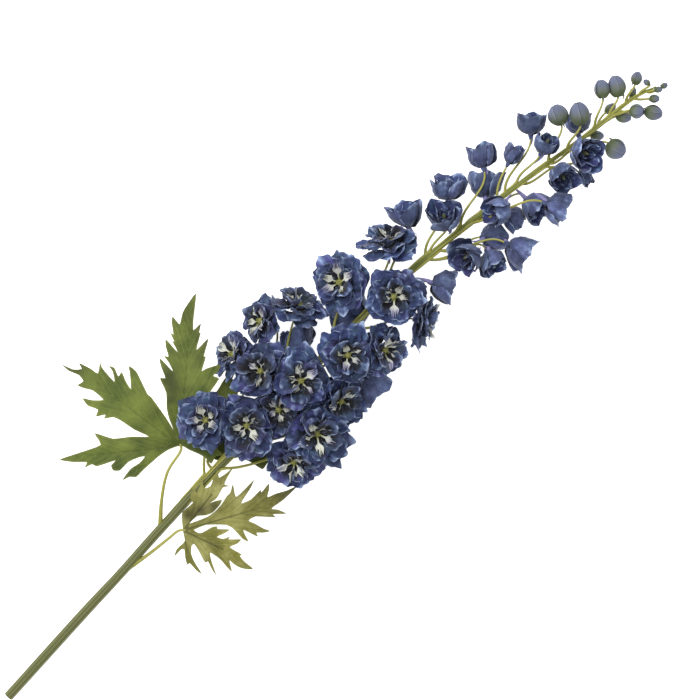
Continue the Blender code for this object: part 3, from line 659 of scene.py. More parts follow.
def ringOfCopiesTree():
    # copies of a petal set round the axis, each with a small turn and tilt of its own
    tree, given, made = newTree("ringOfCopies", "GeometryNodeTree", [
        ("Geometry", "Geometry", None), ("Count", "Int", 5), ("First Turn", "Float", 0.0),
        ("Turn Spread", "Float", 0.02), ("Tilt Spread", "Float", 0.03), ("Size Spread", "Float", 0.04),
        ("Seed", "Int", 0), ("Finish", "Material", None),
    ], [("Geometry", "Geometry")])
    spots = addNode(tree, "GeometryNodePoints", {"Count": given["Count"]})
    index = Wire(tree, addNode(tree, "GeometryNodeInputIndex").outputs[0])

    def drawn(low, high, shift):
        kind = "FLOAT_VECTOR" if isinstance(low, tuple) else "FLOAT"
        draw = addNode(tree, "FunctionNodeRandomValue", data_type=kind)
        for socket, value in zip(shown(draw.inputs), (low, high)):
            feed(tree, socket, value)
        feed(tree, draw.inputs["ID"], index)
        feed(tree, draw.inputs["Seed"], given["Seed"] + shift)
        return Wire(tree, shown(draw.outputs)[0])

    step = 2 * math.pi / given["Count"]
    turn = index * step + given["First Turn"] + drawn(-1.0, 1.0, 1.0) * given["Turn Spread"]
    tilt = drawn(-1.0, 1.0, 2.0) * given["Tilt Spread"]
    angles = addNode(tree, "ShaderNodeCombineXYZ", {"Y": tilt, "Z": turn})
    rotation = addNode(tree, "FunctionNodeEulerToRotation", {"Euler": angles.outputs[0]})
    copies = addNode(tree, "GeometryNodeInstanceOnPoints", {
        "Points": spots.outputs[0], "Instance": given["Geometry"], "Rotation": rotation.outputs[0],
        "Scale": 1.0 + drawn(-1.0, 1.0, 3.0) * given["Size Spread"],
    })
    luck = drawn((0.0, 0.0, 0.0), (1.0, 1.0, 1.0), 4.0)
    marked = stored(tree, copies.outputs[0], "copyLuck", luck, "FLOAT_VECTOR", "INSTANCE")
    return endTree(tree, marked, given, made)


def ribbedSweepTree():
    # a round or ribbed stalk along each line, as thick as the line's points say
    tree, given, made = newTree("ribbedSweep", "GeometryNodeTree", [
        ("Geometry", "Geometry", None), ("Sides", "Int", 12), ("Ribs", "Int", 0),
        ("Rib Depth", "Float", 0.0), ("Finish", "Material", None),
    ], [("Geometry", "Geometry")])
    line = addNode(tree, "GeometryNodeMeshToCurve", {"Mesh": given["Geometry"]})
    thickness = addNode(tree, "GeometryNodeInputNamedAttribute", {"Name": "thickness"}, data_type="FLOAT")
    thick = addNode(tree, "GeometryNodeSetCurveRadius", {
        "Curve": line.outputs[0], "Radius": shown(thickness.outputs)[0],
    })
    along = Wire(tree, addNode(tree, "GeometryNodeSplineParameter").outputs["Factor"])
    path = stored(tree, thick.outputs[0], "pathShare", along, "FLOAT")
    circle = addNode(tree, "GeometryNodeCurvePrimitiveCircle", {"Resolution": given["Sides"], "Radius": 1.0})
    swell = (along * (2 * math.pi) * given["Ribs"]).op("COSINE") * given["Rib Depth"]
    spot = addNode(tree, "GeometryNodeInputPosition").outputs[0]
    offset = addNode(tree, "ShaderNodeVectorMath", {"Scale": swell}, operation="SCALE")
    feed(tree, offset.inputs[0], spot)
    ribbed = addNode(tree, "GeometryNodeSetPosition", {
        "Geometry": circle.outputs[0], "Offset": offset.outputs[0],
    })
    profile = stored(tree, ribbed.outputs[0], "ringSpot", spot, "FLOAT_VECTOR")
    sweep = addNode(tree, "GeometryNodeCurveToMesh", {
        "Curve": path, "Profile Curve": profile, "Fill Caps": True,
    })
    if "Scale" in sweep.inputs:
        feed(tree, sweep.inputs["Scale"], addNode(tree, "GeometryNodeInputRadius").outputs[0])
    return endTree(tree, sweep.outputs[0], given, made)


def linkNew(name, data):
    made = bpy.data.objects.new(name, data)
    bpy.context.scene.collection.objects.link(made)
    return made


def grown(base, tree, values):
    # runs a node tree on a mesh and gives back the plain mesh that it makes
    holder = linkNew(base.name, base)
    modifier = holder.modifiers.new(tree.name, "NODES")
    modifier.node_group = tree
    for item in tree.interface.items_tree:
        if item.in_out == "INPUT" and item.name in values:
            modifier[item.identifier] = values[item.name]
    graph = bpy.context.evaluated_depsgraph_get()
    mesh = bpy.data.meshes.new_from_object(holder.evaluated_get(graph))
    holder.modifiers.remove(modifier)
    bpy.data.objects.remove(holder)
    bpy.data.meshes.remove(base)
    return mesh


def ringOf(shape, count, firstTurn, seed, finish, spread):
    # spread holds how far the copies differ in turn, tilt and size
    mesh = grown(meshOf("petalShape", shape), ringTree, {
        "Count": count, "First Turn": firstTurn, "Turn Spread": spread[0],
        "Tilt Spread": spread[1], "Size Spread": spread[2], "Seed": seed, "Finish": finish,
    })
    luck = readArray(mesh.attributes["copyLuck"].data, "vector", 3)
    ring = readShape(mesh)
    ring["marks"]["luck"][:] = luck
    return ring


def sweepAlong(paths, finish, sides, ribs=0, ribDepth=0.0):
    # paths holds rows of right, up, high and radius; the shape's spots hold the place
    # round the stalk, and its luck the share of the way along it
    mesh = bpy.data.meshes.new("lines")
    edges, start = [], 0
    for p in paths:
        edges += [(start + k, start + k + 1) for k in range(len(p) - 1)]
        start += len(p)
    rows = np.vstack(paths)
    mesh.from_pydata(rows[:, :3].tolist(), edges, [])
    radii = mesh.attributes.new("thickness", "FLOAT", "POINT")
    radii.data.foreach_set("value", rows[:, 3].astype(np.float32))
    mesh = grown(mesh, sweepTree, {"Sides": sides, "Ribs": ribs, "Rib Depth": ribDepth, "Finish": finish})
    share = readArray(mesh.attributes["pathShare"].data, "value")
    ring = readArray(mesh.attributes["ringSpot"].data, "vector", 3)
    shape = readShape(mesh)
    shape["marks"]["spot"][:] = ring
    shape["marks"]["luck"][:, :1] = share
    return shape


def addPiece(name, shape, finish, slot, *nodes):
    mesh = meshOf(name, dict(shape, points=toFrame(shape["points"])))
    mesh.materials.append(finish)
    piece = linkNew(name, mesh)
    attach(piece, "root")
    if nodes:
        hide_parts(*nodes)


# Petals


# Rings of petals. turn: of the first petal, in steps of one petal for an open flower and in
# radians for a cup. root: out and up. length: a share of the flower's size, and more. turns:
# half of what a petal covers at its root, its widest place and its tip; rise: its slope at
# both ends, all in degrees. spread: how far petals differ in turn, tilt and size.
openFlower = {
    "behind": {
        "grid": (14, 14), "layer": -0.05, "turn": 0.5, "count": 5,
        "root": (4.4, -3.8), "length": (1.0, -2.6), "turns": (28, 44, 30), "rise": (12, -12),
        "lean": 0.14, "round": 0.2, "cup": 0.6, "curl": 6, "point": 0.1,
        "ruffle": 1.5, "nick": 0.24, "fold": 3.0, "pleat": 1.0, "pleats": 1.6, "crumple": 0.6,
        "spread": (0.1, 0.06, 0.09), "thick": 0.42,
    },
    "outer": {
        "grid": (18, 20), "layer": 0.0, "turn": 0.0, "count": 5,
        "root": (4.6, -2.4), "length": (1.04, -3.4), "turns": (30, 52, 34), "rise": (24, -8),
        "lean": 0.18, "round": 0.2, "cup": 0.8, "curl": 8, "point": 0.11,
        "ruffle": 1.8, "nick": 0.25, "fold": 4.4, "pleat": 1.2, "pleats": 1.6, "crumple": 0.75,
        "spread": (0.07, 0.07, 0.07), "thick": 0.42,
    },
    "middle": {
        "grid": (16, 18), "layer": 0.33, "turn": 0.25, "count": 5,
        "root": (4.2, -1.2), "length": (0.9, -2.6), "turns": (28, 46, 32), "rise": (36, 6),
        "lean": 0.17, "round": 0.2, "cup": 1.0, "curl": 4, "point": 0.03,
        "ruffle": 1.9, "nick": 0.21, "fold": 5.2, "pleat": 1.2, "pleats": 1.5, "crumple": 0.75,
        "spread": (0.12, 0.1, 0.1), "thick": 0.4,
    },
    "inner": {
        "grid": (16, 14), "layer": 0.66, "turn": 0.5, "count": 5,
        "root": (3.9, 0.2), "length": (0.74, -1.6), "turns": (32, 48, 36), "rise": (56, 36),
        "lean": 0.17, "round": 0.18, "cup": 0.6, "curl": -46, "point": 0.0,
        "ruffle": 1.4, "nick": 0.18, "fold": 4.0, "pleat": 0.9, "pleats": 1.5, "crumple": 0.5,
        "spread": (0.12, 0.1, 0.13), "thick": 0.4,
    },
    "heart": {
        "grid": (8, 8), "layer": 1.0, "turn": 0.2, "count": 6,
        "root": (3.3, 0.4), "length": (0.36, -0.6), "turns": (26, 38, 28), "rise": (50, 34),
        "lean": 0.16, "round": 0.24, "cup": 0.6, "curl": -12, "point": 0.0,
        "ruffle": 0.8, "nick": 0.14, "fold": 1.6, "pleat": 0.5, "pleats": 1.2, "crumple": 0.3,
        "spread": (0.14, 0.1, 0.14), "thick": 0.36,
    },
    "fuller": {
        "flower_02": 1.18, "flower_03": 1.17, "flower_04": 1.16, "flower_05": 1.07, "flower_12": 1.1,
        "flower_13": 1.12, "flower_14": 1.18, "flower_15": 1.06, "flower_16": 1.5,
    },
    "paler": (280, 360, 0.27),  # how far along the layout petals start and stop to pale, and how much
    "hub": [(1.5, -9.0), (2.6, -8.2), (3.6, -6.4), (4.5, -4.0), (4.8, -2.2), (4.1, 0.0), (3.2, 1.2),
            (1.4, 1.8)],
    "spur": [(2.0, -4.0, 2.4), (5.2, -6.6, 2.0), (7.4, -8.6, 1.6), (8.8, -13.0, 1.1), (9.4, -19.0, 0.35)],
}
halfOpenFlower = {
    "cup": {
        "grid": (18, 16), "layer": 0.05, "turn": 0.0, "count": 5,
        "root": (3.0, 0.0), "length": (0.84, -1.0), "turns": (34, 60, 48), "riseFrom": 4, "quick": 1.7,
        "lean": 0.2, "round": 0.2, "cup": 0.8, "curl": -26, "point": 0.06,
        "ruffle": 1.0, "nick": 0.07, "fold": 2.4, "pleat": 0.4, "pleats": 1.2, "crumple": 0.3,
        "spread": (0.07, 0.06, 0.08), "thick": 0.45,
    },
    "lining": {
        "grid": (14, 12), "layer": 0.2, "turn": 0.6, "count": 4,
        "root": (2.4, 1.0), "length": (0.7, -2.0), "turns": (34, 54, 36), "riseFrom": 26, "quick": 1.5,
        "lean": 0.2, "round": 0.26, "cup": 0.8, "curl": -44, "point": 0.0,
        "ruffle": 1.2, "nick": 0.14, "fold": 3.0, "pleat": 0.8, "pleats": 1.4, "crumple": 0.35,
        "spread": (0.12, 0.08, 0.1), "thick": 0.4,
    },
    "core": {
        "grid": (10, 10), "layer": 0.36, "turn": 0.2, "count": 3,
        "root": (1.8, 1.6), "length": (0.56, -2.0), "turns": (40, 58, 34), "riseFrom": 46, "quick": 1.3,
        "lean": 0.24, "round": 0.26, "cup": 0.5, "curl": -50, "point": 0.0,
        "ruffle": 1.1, "nick": 0.14, "fold": 3.0, "pleat": 0.8, "pleats": 1.4, "crumple": 0.35,
        "spread": (0.2, 0.1, 0.14), "thick": 0.36,
    },
    "shut": 112,  # degrees that the petals of a closed cup lean in to
    "closing": 36,  # degrees that a fully open cup's petals lean out again
    "pistil": [(0.3, 1.0), (1.6, 2.0), (2.0, 8.0), (1.7, 13.0), (0.9, 15.5), (0.2, 16.0)],
    "calmer": {"cup_12": 0.35, "cup_04": 0.6, "cup_07": 0.6, "cup_08": 0.7},  # share of the folds they keep
    "hub": [(1.5, -6.0), (2.0, -5.2), (2.6, -3.0), (3.3, -0.8), (2.9, 0.6), (1.2, 1.2)],
    "spur": [(1.4, -2.2, 2.5), (3.4, -4.6, 2.3), (4.6, -8.0, 1.9), (5.2, -13.0, 1.3), (5.2, -20.0, 0.35)],
}
rimWaves = ((2, 0.4), (3, 0.45), (5, 0.5), (8, 0.38), (13, 0.18))  # how many round a petal, how high
rimNicks = ((3, 0.45), (6, 0.45), (11, 0.4), (17, 0.3))
petalForm = {
    "widest": 0.55,  # share of the way along
    "middle": 0.45,  # share of the way along to the place that nicks draw in to
    "closing": 1.6,  # powers: how late the outline closes, rounds and cups
    "rounding": 2.6,
    "cupping": 2.4,
    "tip": (0.4, 1.5),  # how wide a point at the tip is, and how sharp
    "curl": (0.62, 0.5),  # where along the midline it starts, and over how much of it
    "midrib": (0.45, 0.1),  # depth and width of the groove down the middle
    "thinning": 0.55,  # share of the thickness lost by the edge
    "fullSize": 30.0,  # width that the depths of folds are given for
}


def squareTo(x, y, slope):
    # the way out from the axis, and the way square to a petal that leaves it at this slope
    radial = np.stack([x, y, np.zeros_like(x)], axis=-1)
    return radial, -np.sin(slope)[..., None] * radial + np.cos(slope)[..., None] * np.array([0, 0, 1.0])


def petalShape(look, size):
    # one petal that grows out along x from a root beside the flower's axis. Its midline
    # rises as the CAD's does, and its outline and tip are rounded.
    v, u = sheetGrid(*look["grid"])
    length = look["length"][0] * size + look["length"][1]
    rootTurn, wideTurn, tipTurn = look["turns"]
    widest = petalForm["widest"]
    opening = np.sin(np.clip(v / widest, 0, 1) * math.pi / 2)
    closing = np.clip((v - widest) / (1 - widest), 0, 1) ** petalForm["closing"]
    spread = rootTurn + (wideTurn - rootTurn) * opening - (wideTurn - tipTurn) * closing
    t = v * (1 - look["round"] * np.abs(u) ** petalForm["rounding"])
    tipWidth, tipPower = petalForm["tip"]
    t += look["point"] * v**8 * np.clip(1 - np.abs(u) / tipWidth, 0, 1) ** tipPower

    fine = np.linspace(0, 1.3, 131)
    share = 1 - (1 - np.clip(fine, 0, 1)) ** look.get("quick", 1.0)
    slopes = look["rise"][0] + (look["rise"][1] - look["rise"][0]) * share
    slopes = np.radians(slopes + look["curl"] * rising(fine, *petalForm["curl"]))
    step = length * (fine[1] - fine[0])
    out, up = (start + np.concatenate([[0], np.cumsum(way(slopes[:-1]) * step)])
               for start, way in zip(look["root"], (np.cos, np.sin)))
    r, h, slope = (np.interp(t, fine, line) for line in (out, up, slopes))

    angle = np.radians(spread * u)
    radial, normal = squareTo(np.cos(angle), np.sin(angle), slope)
    lift = look["lean"] * u * spread / wideTurn * np.interp(0.5, fine, out)
    lift += look["cup"] * np.abs(u) ** petalForm["cupping"] * smoothStep(v / 0.4) * (1 - 0.5 * v)
    ribDepth, ribWidth = petalForm["midrib"]
    lift -= ribDepth * np.exp(-((u / ribWidth) ** 2)) * smoothStep(v / 0.15) * (1 - v)
    middle = r[..., None] * radial + normal * lift[..., None]
    middle[..., 2] += h
    edge = np.maximum(np.abs(u), v) ** 6
    push = normal * (look["thick"] / 2 * (1 - petalForm["thinning"] * edge))[..., None]
    return sheetShape(middle, push, u, v), np.tile(slope.ravel(), 2)


def ruffled(ring, look, scale, slope, count, rng):
    # pleats and folds down each petal, waves and nicks along its rim, no two alike
    spot, luck = ring["marks"]["spot"], ring["marks"]["luck"]
    u, v = spot[:, 0], spot[:, 1]
    slope = np.tile(slope, count)
    beyond = v - petalForm["middle"]
    around = np.arctan2(u, 2.0 * beyond)
    reach = np.clip(np.hypot(u, np.clip(beyond / (1 - petalForm["middle"]), 0, 1)), 0, 1)
    rim = reach**2.2 * smoothStep(v / 0.35)
    wave = sum(share * np.sin(times * around + luck @ (31.0, 7.0 * times, 17.0) + rng.uniform(0, 6.3))
               for times, share in rimWaves)
    nick = sum(share * np.sin(times * around + luck @ (13.0 * times, 29.0, 5.0) + rng.uniform(0, 6.3))
               for times, share in rimNicks)
    turns = math.pi * look["pleats"] * (0.8 + 0.5 * luck[:, 0])
    pleat = np.sin(turns * u + 41.0 * luck[:, 1])
    pleat += 0.45 * np.sin(2.3 * turns * u + 3.0 * v + 23.0 * luck[:, 2])
    pleat *= smoothStep(v / 0.5) * (1 - 0.3 * v)
    crumple = np.sin(9 * u + 7 * v + 50.0 * luck[:, 0]) * np.sin(11 * v - 6 * u + 37.0 * luck[:, 2])
    crumple += 0.6 * np.sin(17 * u - 9 * v + 61.0 * luck[:, 1]) * np.sin(19 * v + 13 * u + 29.0 * luck[:, 0])
    crumple *= smoothStep(v / 0.4)

    petals = ring["points"].reshape(count, -1, 3)
    one = petals.shape[1]
    middles = petals[:, np.argmin(np.hypot(u[:one], beyond[:one]))]
    inward = (middles[:, None] - petals).reshape(-1, 3)
    p = ring["points"] + inward * (look["nick"] * rim**2 * (0.5 + 0.5 * nick))[:, None]
    away = np.maximum(np.hypot(p[:, 0], p[:, 1]), 0.5)
    _, normal = squareTo(p[:, 0] / away, p[:, 1] / away, slope)
    fold = look["fold"] * (luck[:, 1] - 0.4) * np.abs(u) ** 2.2 * smoothStep(v / 0.3)
    fold += look["fold"] * (luck[:, 2] - 0.5) * u * v**2 + look["fold"] * (luck[:, 0] - 0.5) * 0.5 * v**3
    bend = look["ruffle"] * rim * wave + look["pleat"] * pleat + look["crumple"] * crumple + fold
    ring["points"] = p + normal * (scale * bend)[:, None]
    ring["marks"]["crease"][:, 0] = np.clip(0.5 * pleat + 0.7 * rim * wave + 0.45 * crumple, -1, 1)
    return ring


def paled(shape, right):
    # flowers nearer the tip are paler
    start, stop, most = openFlower["paler"]
    shape["marks"]["luck"][:, 0] += most * smoothStep(np.array((right - start) / (stop - start)))
    return shape


def petalLayer(look, size, firstTurn, rng):
    shape, slope = petalShape(look, size)
    ring = ringOf(shape, look["count"], firstTurn, rng.randrange(10**6), petalFinish, look["spread"])
    ring["marks"]["layer"][:] = look["layer"]
    return ruffled(ring, look, size / petalForm["fullSize"], slope, look["count"], rng)


def spurShape(path, turn):
    lines = smoothCurve([(x, 0, z, r) for x, z, r in path], 5)
    shape = sweepAlong([lines], petalFinish, 9)
    shape["points"] = turned(shape["points"], turn)
    marks = shape["marks"]
    marks["spot"][:] = (0.0, 0.35, -1.0)
    marks["spot"][:, 1] += 0.4 * marks["luck"][:, 0]
    marks["luck"][:] = (0.8, 0.85, 0.5)
    marks["crease"][:] = 0.3
    marks["layer"][:] = -1.0
    return shape


def hubShape(profile):
    shape = lathe(profile, 14, (0.0, 0.25, -1.0))
    shape["marks"]["luck"][:] = (0.3, 0.7, 0.5)
    return shape


def drawnTurn(rng, layers):
    # drawn as the CAD draws, twice for each of five petals in a layer, so that petals and
    # spur turn as its own do
    first = rng.uniform(0, 2 * math.pi)
    for _ in range(10 * layers):
        rng.random()
    return first


def openPetals(name, width, first, rng):
    size = width / 2 * openFlower["fuller"].get(name, 1.0)
    layers = []
    for ring in ("behind", "outer", "middle", "inner", "heart"):
        look = openFlower[ring]
        layers.append(petalLayer(look, size, first + look["turn"] * (2 * math.pi / 5), rng))
    return joined(layers + [hubShape(openFlower["hub"]), spurShape(openFlower["spur"], first)])


def halfOpenPetals(name, width, openness, first, rng, spurred=True):
    end = halfOpenFlower["shut"] - halfOpenFlower["closing"] * openness
    kept = halfOpenFlower["calmer"].get(name, 1.0)
    layers = []
    for ring in ("cup", "lining", "core"):
        look = dict(halfOpenFlower[ring])
        look["rise"] = (look["riseFrom"], end)
        for label in ("ruffle", "nick", "fold", "pleat", "crumple"):
            look[label] *= kept
        layers.append(petalLayer(look, width, first + look["turn"], rng))
    layers.append(hubShape(halfOpenFlower["hub"]))
    pistil = lathe(halfOpenFlower["pistil"], 12, (0.0, 0.6, 1.0))
    pistil["marks"]["layer"][:] = 2.0
    layers.append(pistil)
    if spurred:
        layers.append(spurShape(halfOpenFlower["spur"], first))
    return joined(layers)


def closedPetals(middle, axis, width, length, rng):
    # a flower that has hardly begun to open, drawn in to its own width and length
    shape = halfOpenPetals("closed", petalForm["fullSize"], 0.0, rng.uniform(0, 6.3), rng, spurred=False)
    points = shape["points"] - (0, 0, (shape["points"][:, 2].min() + shape["points"][:, 2].max()) / 2)
    reach = np.hypot(points[:, 0], points[:, 1]).max()
    points *= (width / 2 / reach, width / 2 / reach, length / 2 / points[:, 2].max())
    shape["points"] = stoodAlong(axis, points, middle)
    return shape


# The pale centre of an open flower


eye = {
    "arms": 5,
    "length": (0.25, 1.0),  # of one arm: a share of the flower's width, and more
    "rise": (48, 26),
    "width": (0.7, 3.9),  # half of it, at the claw and at the tuft
    "root": (1.8, 2.6),
    "grid": (16, 14),
    "opens": (0.42, 0.26),  # where the claw begins to widen, and over how much of the arm
    "narrows": (0.8, 0.2, 0.3),  # the same for its end, and by how much
    "fingers": 4,
    "fingerDepth": 0.2,
    "frays": (0.66, 0.34),  # where the fingers part
    "tuft": (0.5, 0.35),  # where the arm begins to crumple
    "bends": (0.3, 0.7),
    "jitter": (-0.11, 0.09),
    "spread": (0.22, 0.16, 0.22),
    "twist": 4.5,
    "knob": [(0.6, 0.6), (2.4, 1.4), (3.3, 3.0), (3.1, 4.6), (2.1, 5.8), (0.6, 6.2)],
    "beads": 16,
    "bead": [(0.12, -0.9), (0.5, -0.5), (0.62, 0.1), (0.4, 0.6), (0.1, 0.8)],
    "beadPlace": (2.4, 0, 5.6),
    "beadSpread": (0.3, 0.3, 0.25),
    "thick": 0.5,
}


def armShape(length, rng):
    # a narrow claw that opens to a frayed, crumpled tuft
    v, u = sheetGrid(*eye["grid"])
    narrow, wide = eye["width"]
    *narrowing, share = eye["narrows"]
    half = narrow + (wide - narrow) * rising(v, *eye["opens"]) * (1 - share * rising(v, *narrowing))
    comb = np.sin((u * eye["fingers"] + rng.uniform(0, 2)) * math.pi)
    jitter = np.array([rng.uniform(*eye["jitter"]) for _ in range(u.shape[1])])
    fray = eye["fingerDepth"] * (comb - 0.6) + jitter
    t = v * (1 - 0.16 * np.abs(u) ** 3) + fray * rising(v, *eye["frays"])
    start, end = np.radians(eye["rise"])
    slope = start + (end - start) * t
    r = eye["root"][0] + length * t * np.cos((start + slope) / 2)
    h = eye["root"][1] + length * t * np.sin((start + slope) / 2)
    tuft = rising(v, *eye["tuft"])
    crumple = np.sin(5 * u + rng.uniform(0, 6.3)) + 0.8 * np.sin(9 * u + 7 * v + rng.uniform(0, 6.3))
    curl = 0.45 * half * np.abs(u) ** 2 + tuft * 0.6 * crumple
    middle = np.stack([r, half * u, h + curl], axis=-1)
    normal = np.stack([-np.sin(slope), 0 * slope, np.cos(slope)], axis=-1)
    shape = sheetShape(middle, normal * (eye["thick"] / 2), u, v)
    shape["marks"]["crease"][:, 0] = np.tile((0.55 * crumple * tuft + 0.3 * comb * tuft).ravel(), 2)
    return shape


def eyeShape(width, firstTurn, rng):
    length = eye["length"][0] * width + eye["length"][1]
    arm = armShape(length, rng)
    arms = ringOf(arm, eye["arms"], firstTurn, rng.randrange(10**6), eyeFinish, eye["spread"])
    luck, spot = arms["marks"]["luck"], arms["marks"]["spot"]
    bend = rising(spot[:, 1], *eye["bends"])
    twist = spot[:, 0] * bend * (luck[:, 2] - 0.5) * eye["twist"]
    arms["points"][:, 2] += 3.0 * (luck[:, 0] - 0.4) * bend + twist
    knob = lathe(eye["knob"], 12, (0.0, 0.0, 1.0))
    knob["marks"]["layer"][:] = 1.0
    bead = lathe(eye["bead"], 6, (0.0, 0.1, 1.0))
    bead["points"] += eye["beadPlace"]
    beads = ringOf(bead, eye["beads"], 0.0, rng.randrange(10**6), eyeFinish, eye["beadSpread"])
    beads["marks"]["layer"][:] = 0.7
    return joined([arms, knob, beads])


# Leaves


leafLook = {
    "thick": 0.55,
    "spacing": 3.2,  # between points inside the outline
    "rowGap": 0.87,  # between rows, as a share of the spacing
    "margin": 1.4,  # kept clear along the edge
    "ribMargin": 0.8,  # the same for the points on a rib
    "ribClear": 1.5,  # kept clear on both sides of a rib
    "ribStart": 2.5,  # first point along a rib, then one at each step
    "ribStep": 2.0,
    "edgeSteps": 3,
    "edgeBend": (0.55, 0.45),  # shares of a curve and of straight lines between the outline's points
    "foldReach": 10.0,  # how far off a rib the blade rises
    "foldRise": 0.12,
    "rimWidth": 6.0,
    "groove": {1: 0.16, -1: 0.34},  # along a rib, on the upper and on the under side
    "grooveWidth": 0.9,
    "quilt": 0.22,  # depth of the relief between side veins
    "veinPitch": 12.0,
    "veinLean": 2.4,  # how far a side vein runs along its rib for each step away from it
    "ripple": 0.7,
    "tip": (0.55, 0.45),  # where on the way out the tips start to darken
    "tipShade": 0.22,
}


def isInside(points, outline):
    inside = np.zeros(len(points), bool)
    x, y = points[:, 0], points[:, 1]
    for (ax, ay), (bx, by) in zip(outline, np.roll(outline, -1, axis=0)):
        if ay != by:
            inside ^= ((ay > y) != (by > y)) & (x < (bx - ax) * (y - ay) / (by - ay) + ax)
    return inside


def leafJoint(outline):
    # the middle of the short edge that the petiole meets, and the way out of the leaf
    first, last = outline[0], outline[-1]
    along = unit(first - last)
    out = np.array([along[1], -along[0]])
    if isInside(((first + last) / 2 + out)[None], outline)[0]:
        out = -out
    return (first + last) / 2, out


def distanceToEdge(points, outline):
    best = np.full(len(points), 1e9)
    for a, b in zip(outline, np.roll(outline, -1, axis=0)):
        span = b - a
        t = np.clip(((points - a) @ span) / (span @ span), 0, 1)
        best = np.minimum(best, np.linalg.norm(points - a - t[:, None] * span, axis=1))
    return best


def leafEdge(outline):
    # more points along the outline, which round it a little
    steps = leafLook["edgeSteps"]
    bend, straight = leafLook["edgeBend"]
    closed = np.vstack([outline[-1:], outline, outline[:2]])
    edge = []
    for k in range(1, len(closed) - 2):
        curve = smoothCurve(closed[k - 1 : k + 3], steps)[steps : 2 * steps]
        line = closed[k] + (closed[k + 1] - closed[k]) * (np.arange(steps) / steps)[:, None]
        edge.append(bend * curve + straight * line)
    return np.vstack(edge)


def leafTriangles(outline, edge, joint, ribs):
    # points in rows inside the edge, with more along the ribs, joined up
    low, high = outline.min(axis=0), outline.max(axis=0)
    gap = leafLook["spacing"]
    row = np.arange(low[0], high[0], gap)
    grid = np.vstack([np.stack([row + (i % 2) * gap / 2, np.full(len(row), y)], axis=1)
                      for i, y in enumerate(np.arange(low[1], high[1], gap * leafLook["rowGap"]))])
    grid = grid[isInside(grid, edge)]
    veins = []
    for rib in ribs:
        span = np.linalg.norm(rib - joint)
        shares = np.arange(leafLook["ribStart"], span - 1, leafLook["ribStep"]) / span
        veins.append(joint + (rib - joint) * shares[:, None])
    veins = np.vstack(veins)
    veins = veins[isInside(veins, edge) & (distanceToEdge(veins, edge) > leafLook["ribMargin"])]
    near = np.min(np.linalg.norm(grid[:, None] - veins[None], axis=2), axis=1)
    grid = grid[(near > leafLook["ribClear"]) & (distanceToEdge(grid, edge) > leafLook["margin"])]
    points = [Vector(p) for p in np.vstack([edge, grid, veins])]
    borders = [(k, (k + 1) % len(edge)) for k in range(len(edge))]
    points, _, faces, _, _, _ = delaunay_2d_cdt(points, borders, [], 1, 1e-4)
    return np.array([tuple(p) for p in points]), faces


def nearRibs(away, ribs):
    # for each point: its own rib, how far off that is, how far along the side veins the
    # point lies, and how far it is from any rib's line
    across, along, aside = [], [], []
    for rib in ribs:
        direction = unit(rib)
        side = away[:, 0] * direction[1] - away[:, 1] * direction[0]
        ahead = away @ direction
        beyond = np.maximum(ahead - np.linalg.norm(rib), 0) + np.maximum(-ahead, 0)
        across.append(np.hypot(side, beyond))
        aside.append(np.abs(side))
        along.append(ahead)
    nearest = np.argmin(across, axis=0)
    own = (nearest, np.arange(len(away)))
    branch = np.array(along)[own] - leafLook["veinLean"] * np.array(aside)[own]
    return nearest, np.min(across, axis=0), branch, np.min(aside, axis=0)


def leafPiece(name, values, finish):
    outline = np.array(values["outline"], float)
    joint, _ = leafJoint(outline)
    ribs = [np.array(r, float) for r in values["ribs"]]
    edge = leafEdge(outline)
    flat, faces = leafTriangles(outline, edge, joint, ribs)

    away = flat - joint
    out = np.linalg.norm(away, axis=1) / np.linalg.norm(outline - joint, axis=1).max()
    out = np.clip(out, 0, 1)
    nearest, ribGap, branch, aside = nearRibs(away, [rib - joint for rib in ribs])
    fold = np.minimum(aside, leafLook["foldReach"]) * leafLook["foldRise"] * smoothStep(4 * out)
    height = values["base"] + values["arch"] * np.sin(math.pi * out) - values["fall"] * out**2
    height += fold + values["tilt"] * away[:, 1]
    rim = smoothStep(1 - distanceToEdge(flat, edge) / leafLook["rimWidth"])
    groove = leafLook["groove"][values["faceUp"]] * np.exp(-((ribGap / leafLook["grooveWidth"]) ** 2))
    height -= groove * values["faceUp"]
    height += leafLook["quilt"] * np.cos(2 * math.pi * branch / leafLook["veinPitch"]) * (1 - rim)
    height += leafLook["ripple"] * rim * np.sin(flat[:, 0] * 0.31 + 1.0) * np.sin(flat[:, 1] * 0.27)

    count = len(flat)
    triangles = np.array(faces)
    edges = dict.fromkeys((f[k], f[(k + 1) % 3]) for f in faces for k in range(3))
    end, start = np.array([e for e in edges if (e[1], e[0]) not in edges]).T
    sides = np.stack([start, end, end + count, start + count], axis=1)
    corners = np.concatenate([triangles.ravel(), (triangles[:, ::-1] + count).ravel(), sides.ravel()])
    sizes = np.repeat([3, 4], [2 * len(triangles), len(sides)])
    top = np.column_stack([flat, height + leafLook["thick"] / 2])
    spot = np.stack([ribGap, branch, np.full(count, float(values["faceUp"]))], axis=1)
    # the shade: darker towards the tips, with spots of painted shade, and of painted light where a spot's
    # share is negative
    shade = values["shade"] * (1 - leafLook["tipShade"] * rising(out, *leafLook["tip"]))
    for right, up, radius, share in values["shadeAndLightSpots"]:
        shade *= 1 - share * np.exp(-(np.hypot(flat[:, 0] - right, flat[:, 1] - up) / radius) ** 2)
    luck = np.stack([out, rim, shade], axis=1)
    shape = shapeOf(np.vstack([top, top - (0, 0, leafLook["thick"])]), corners, sizes,
                    spot=np.vstack([spot, spot * (1, 1, -1)]), luck=np.vstack([luck, luck]))
    shape["marks"]["layer"][:, 0] = np.tile(nearest / 10, 2)
    addPiece(name.replace("leaf_", "leafBlade_"), shape, finish, "leaf", name)


# Stem, stalks and buds


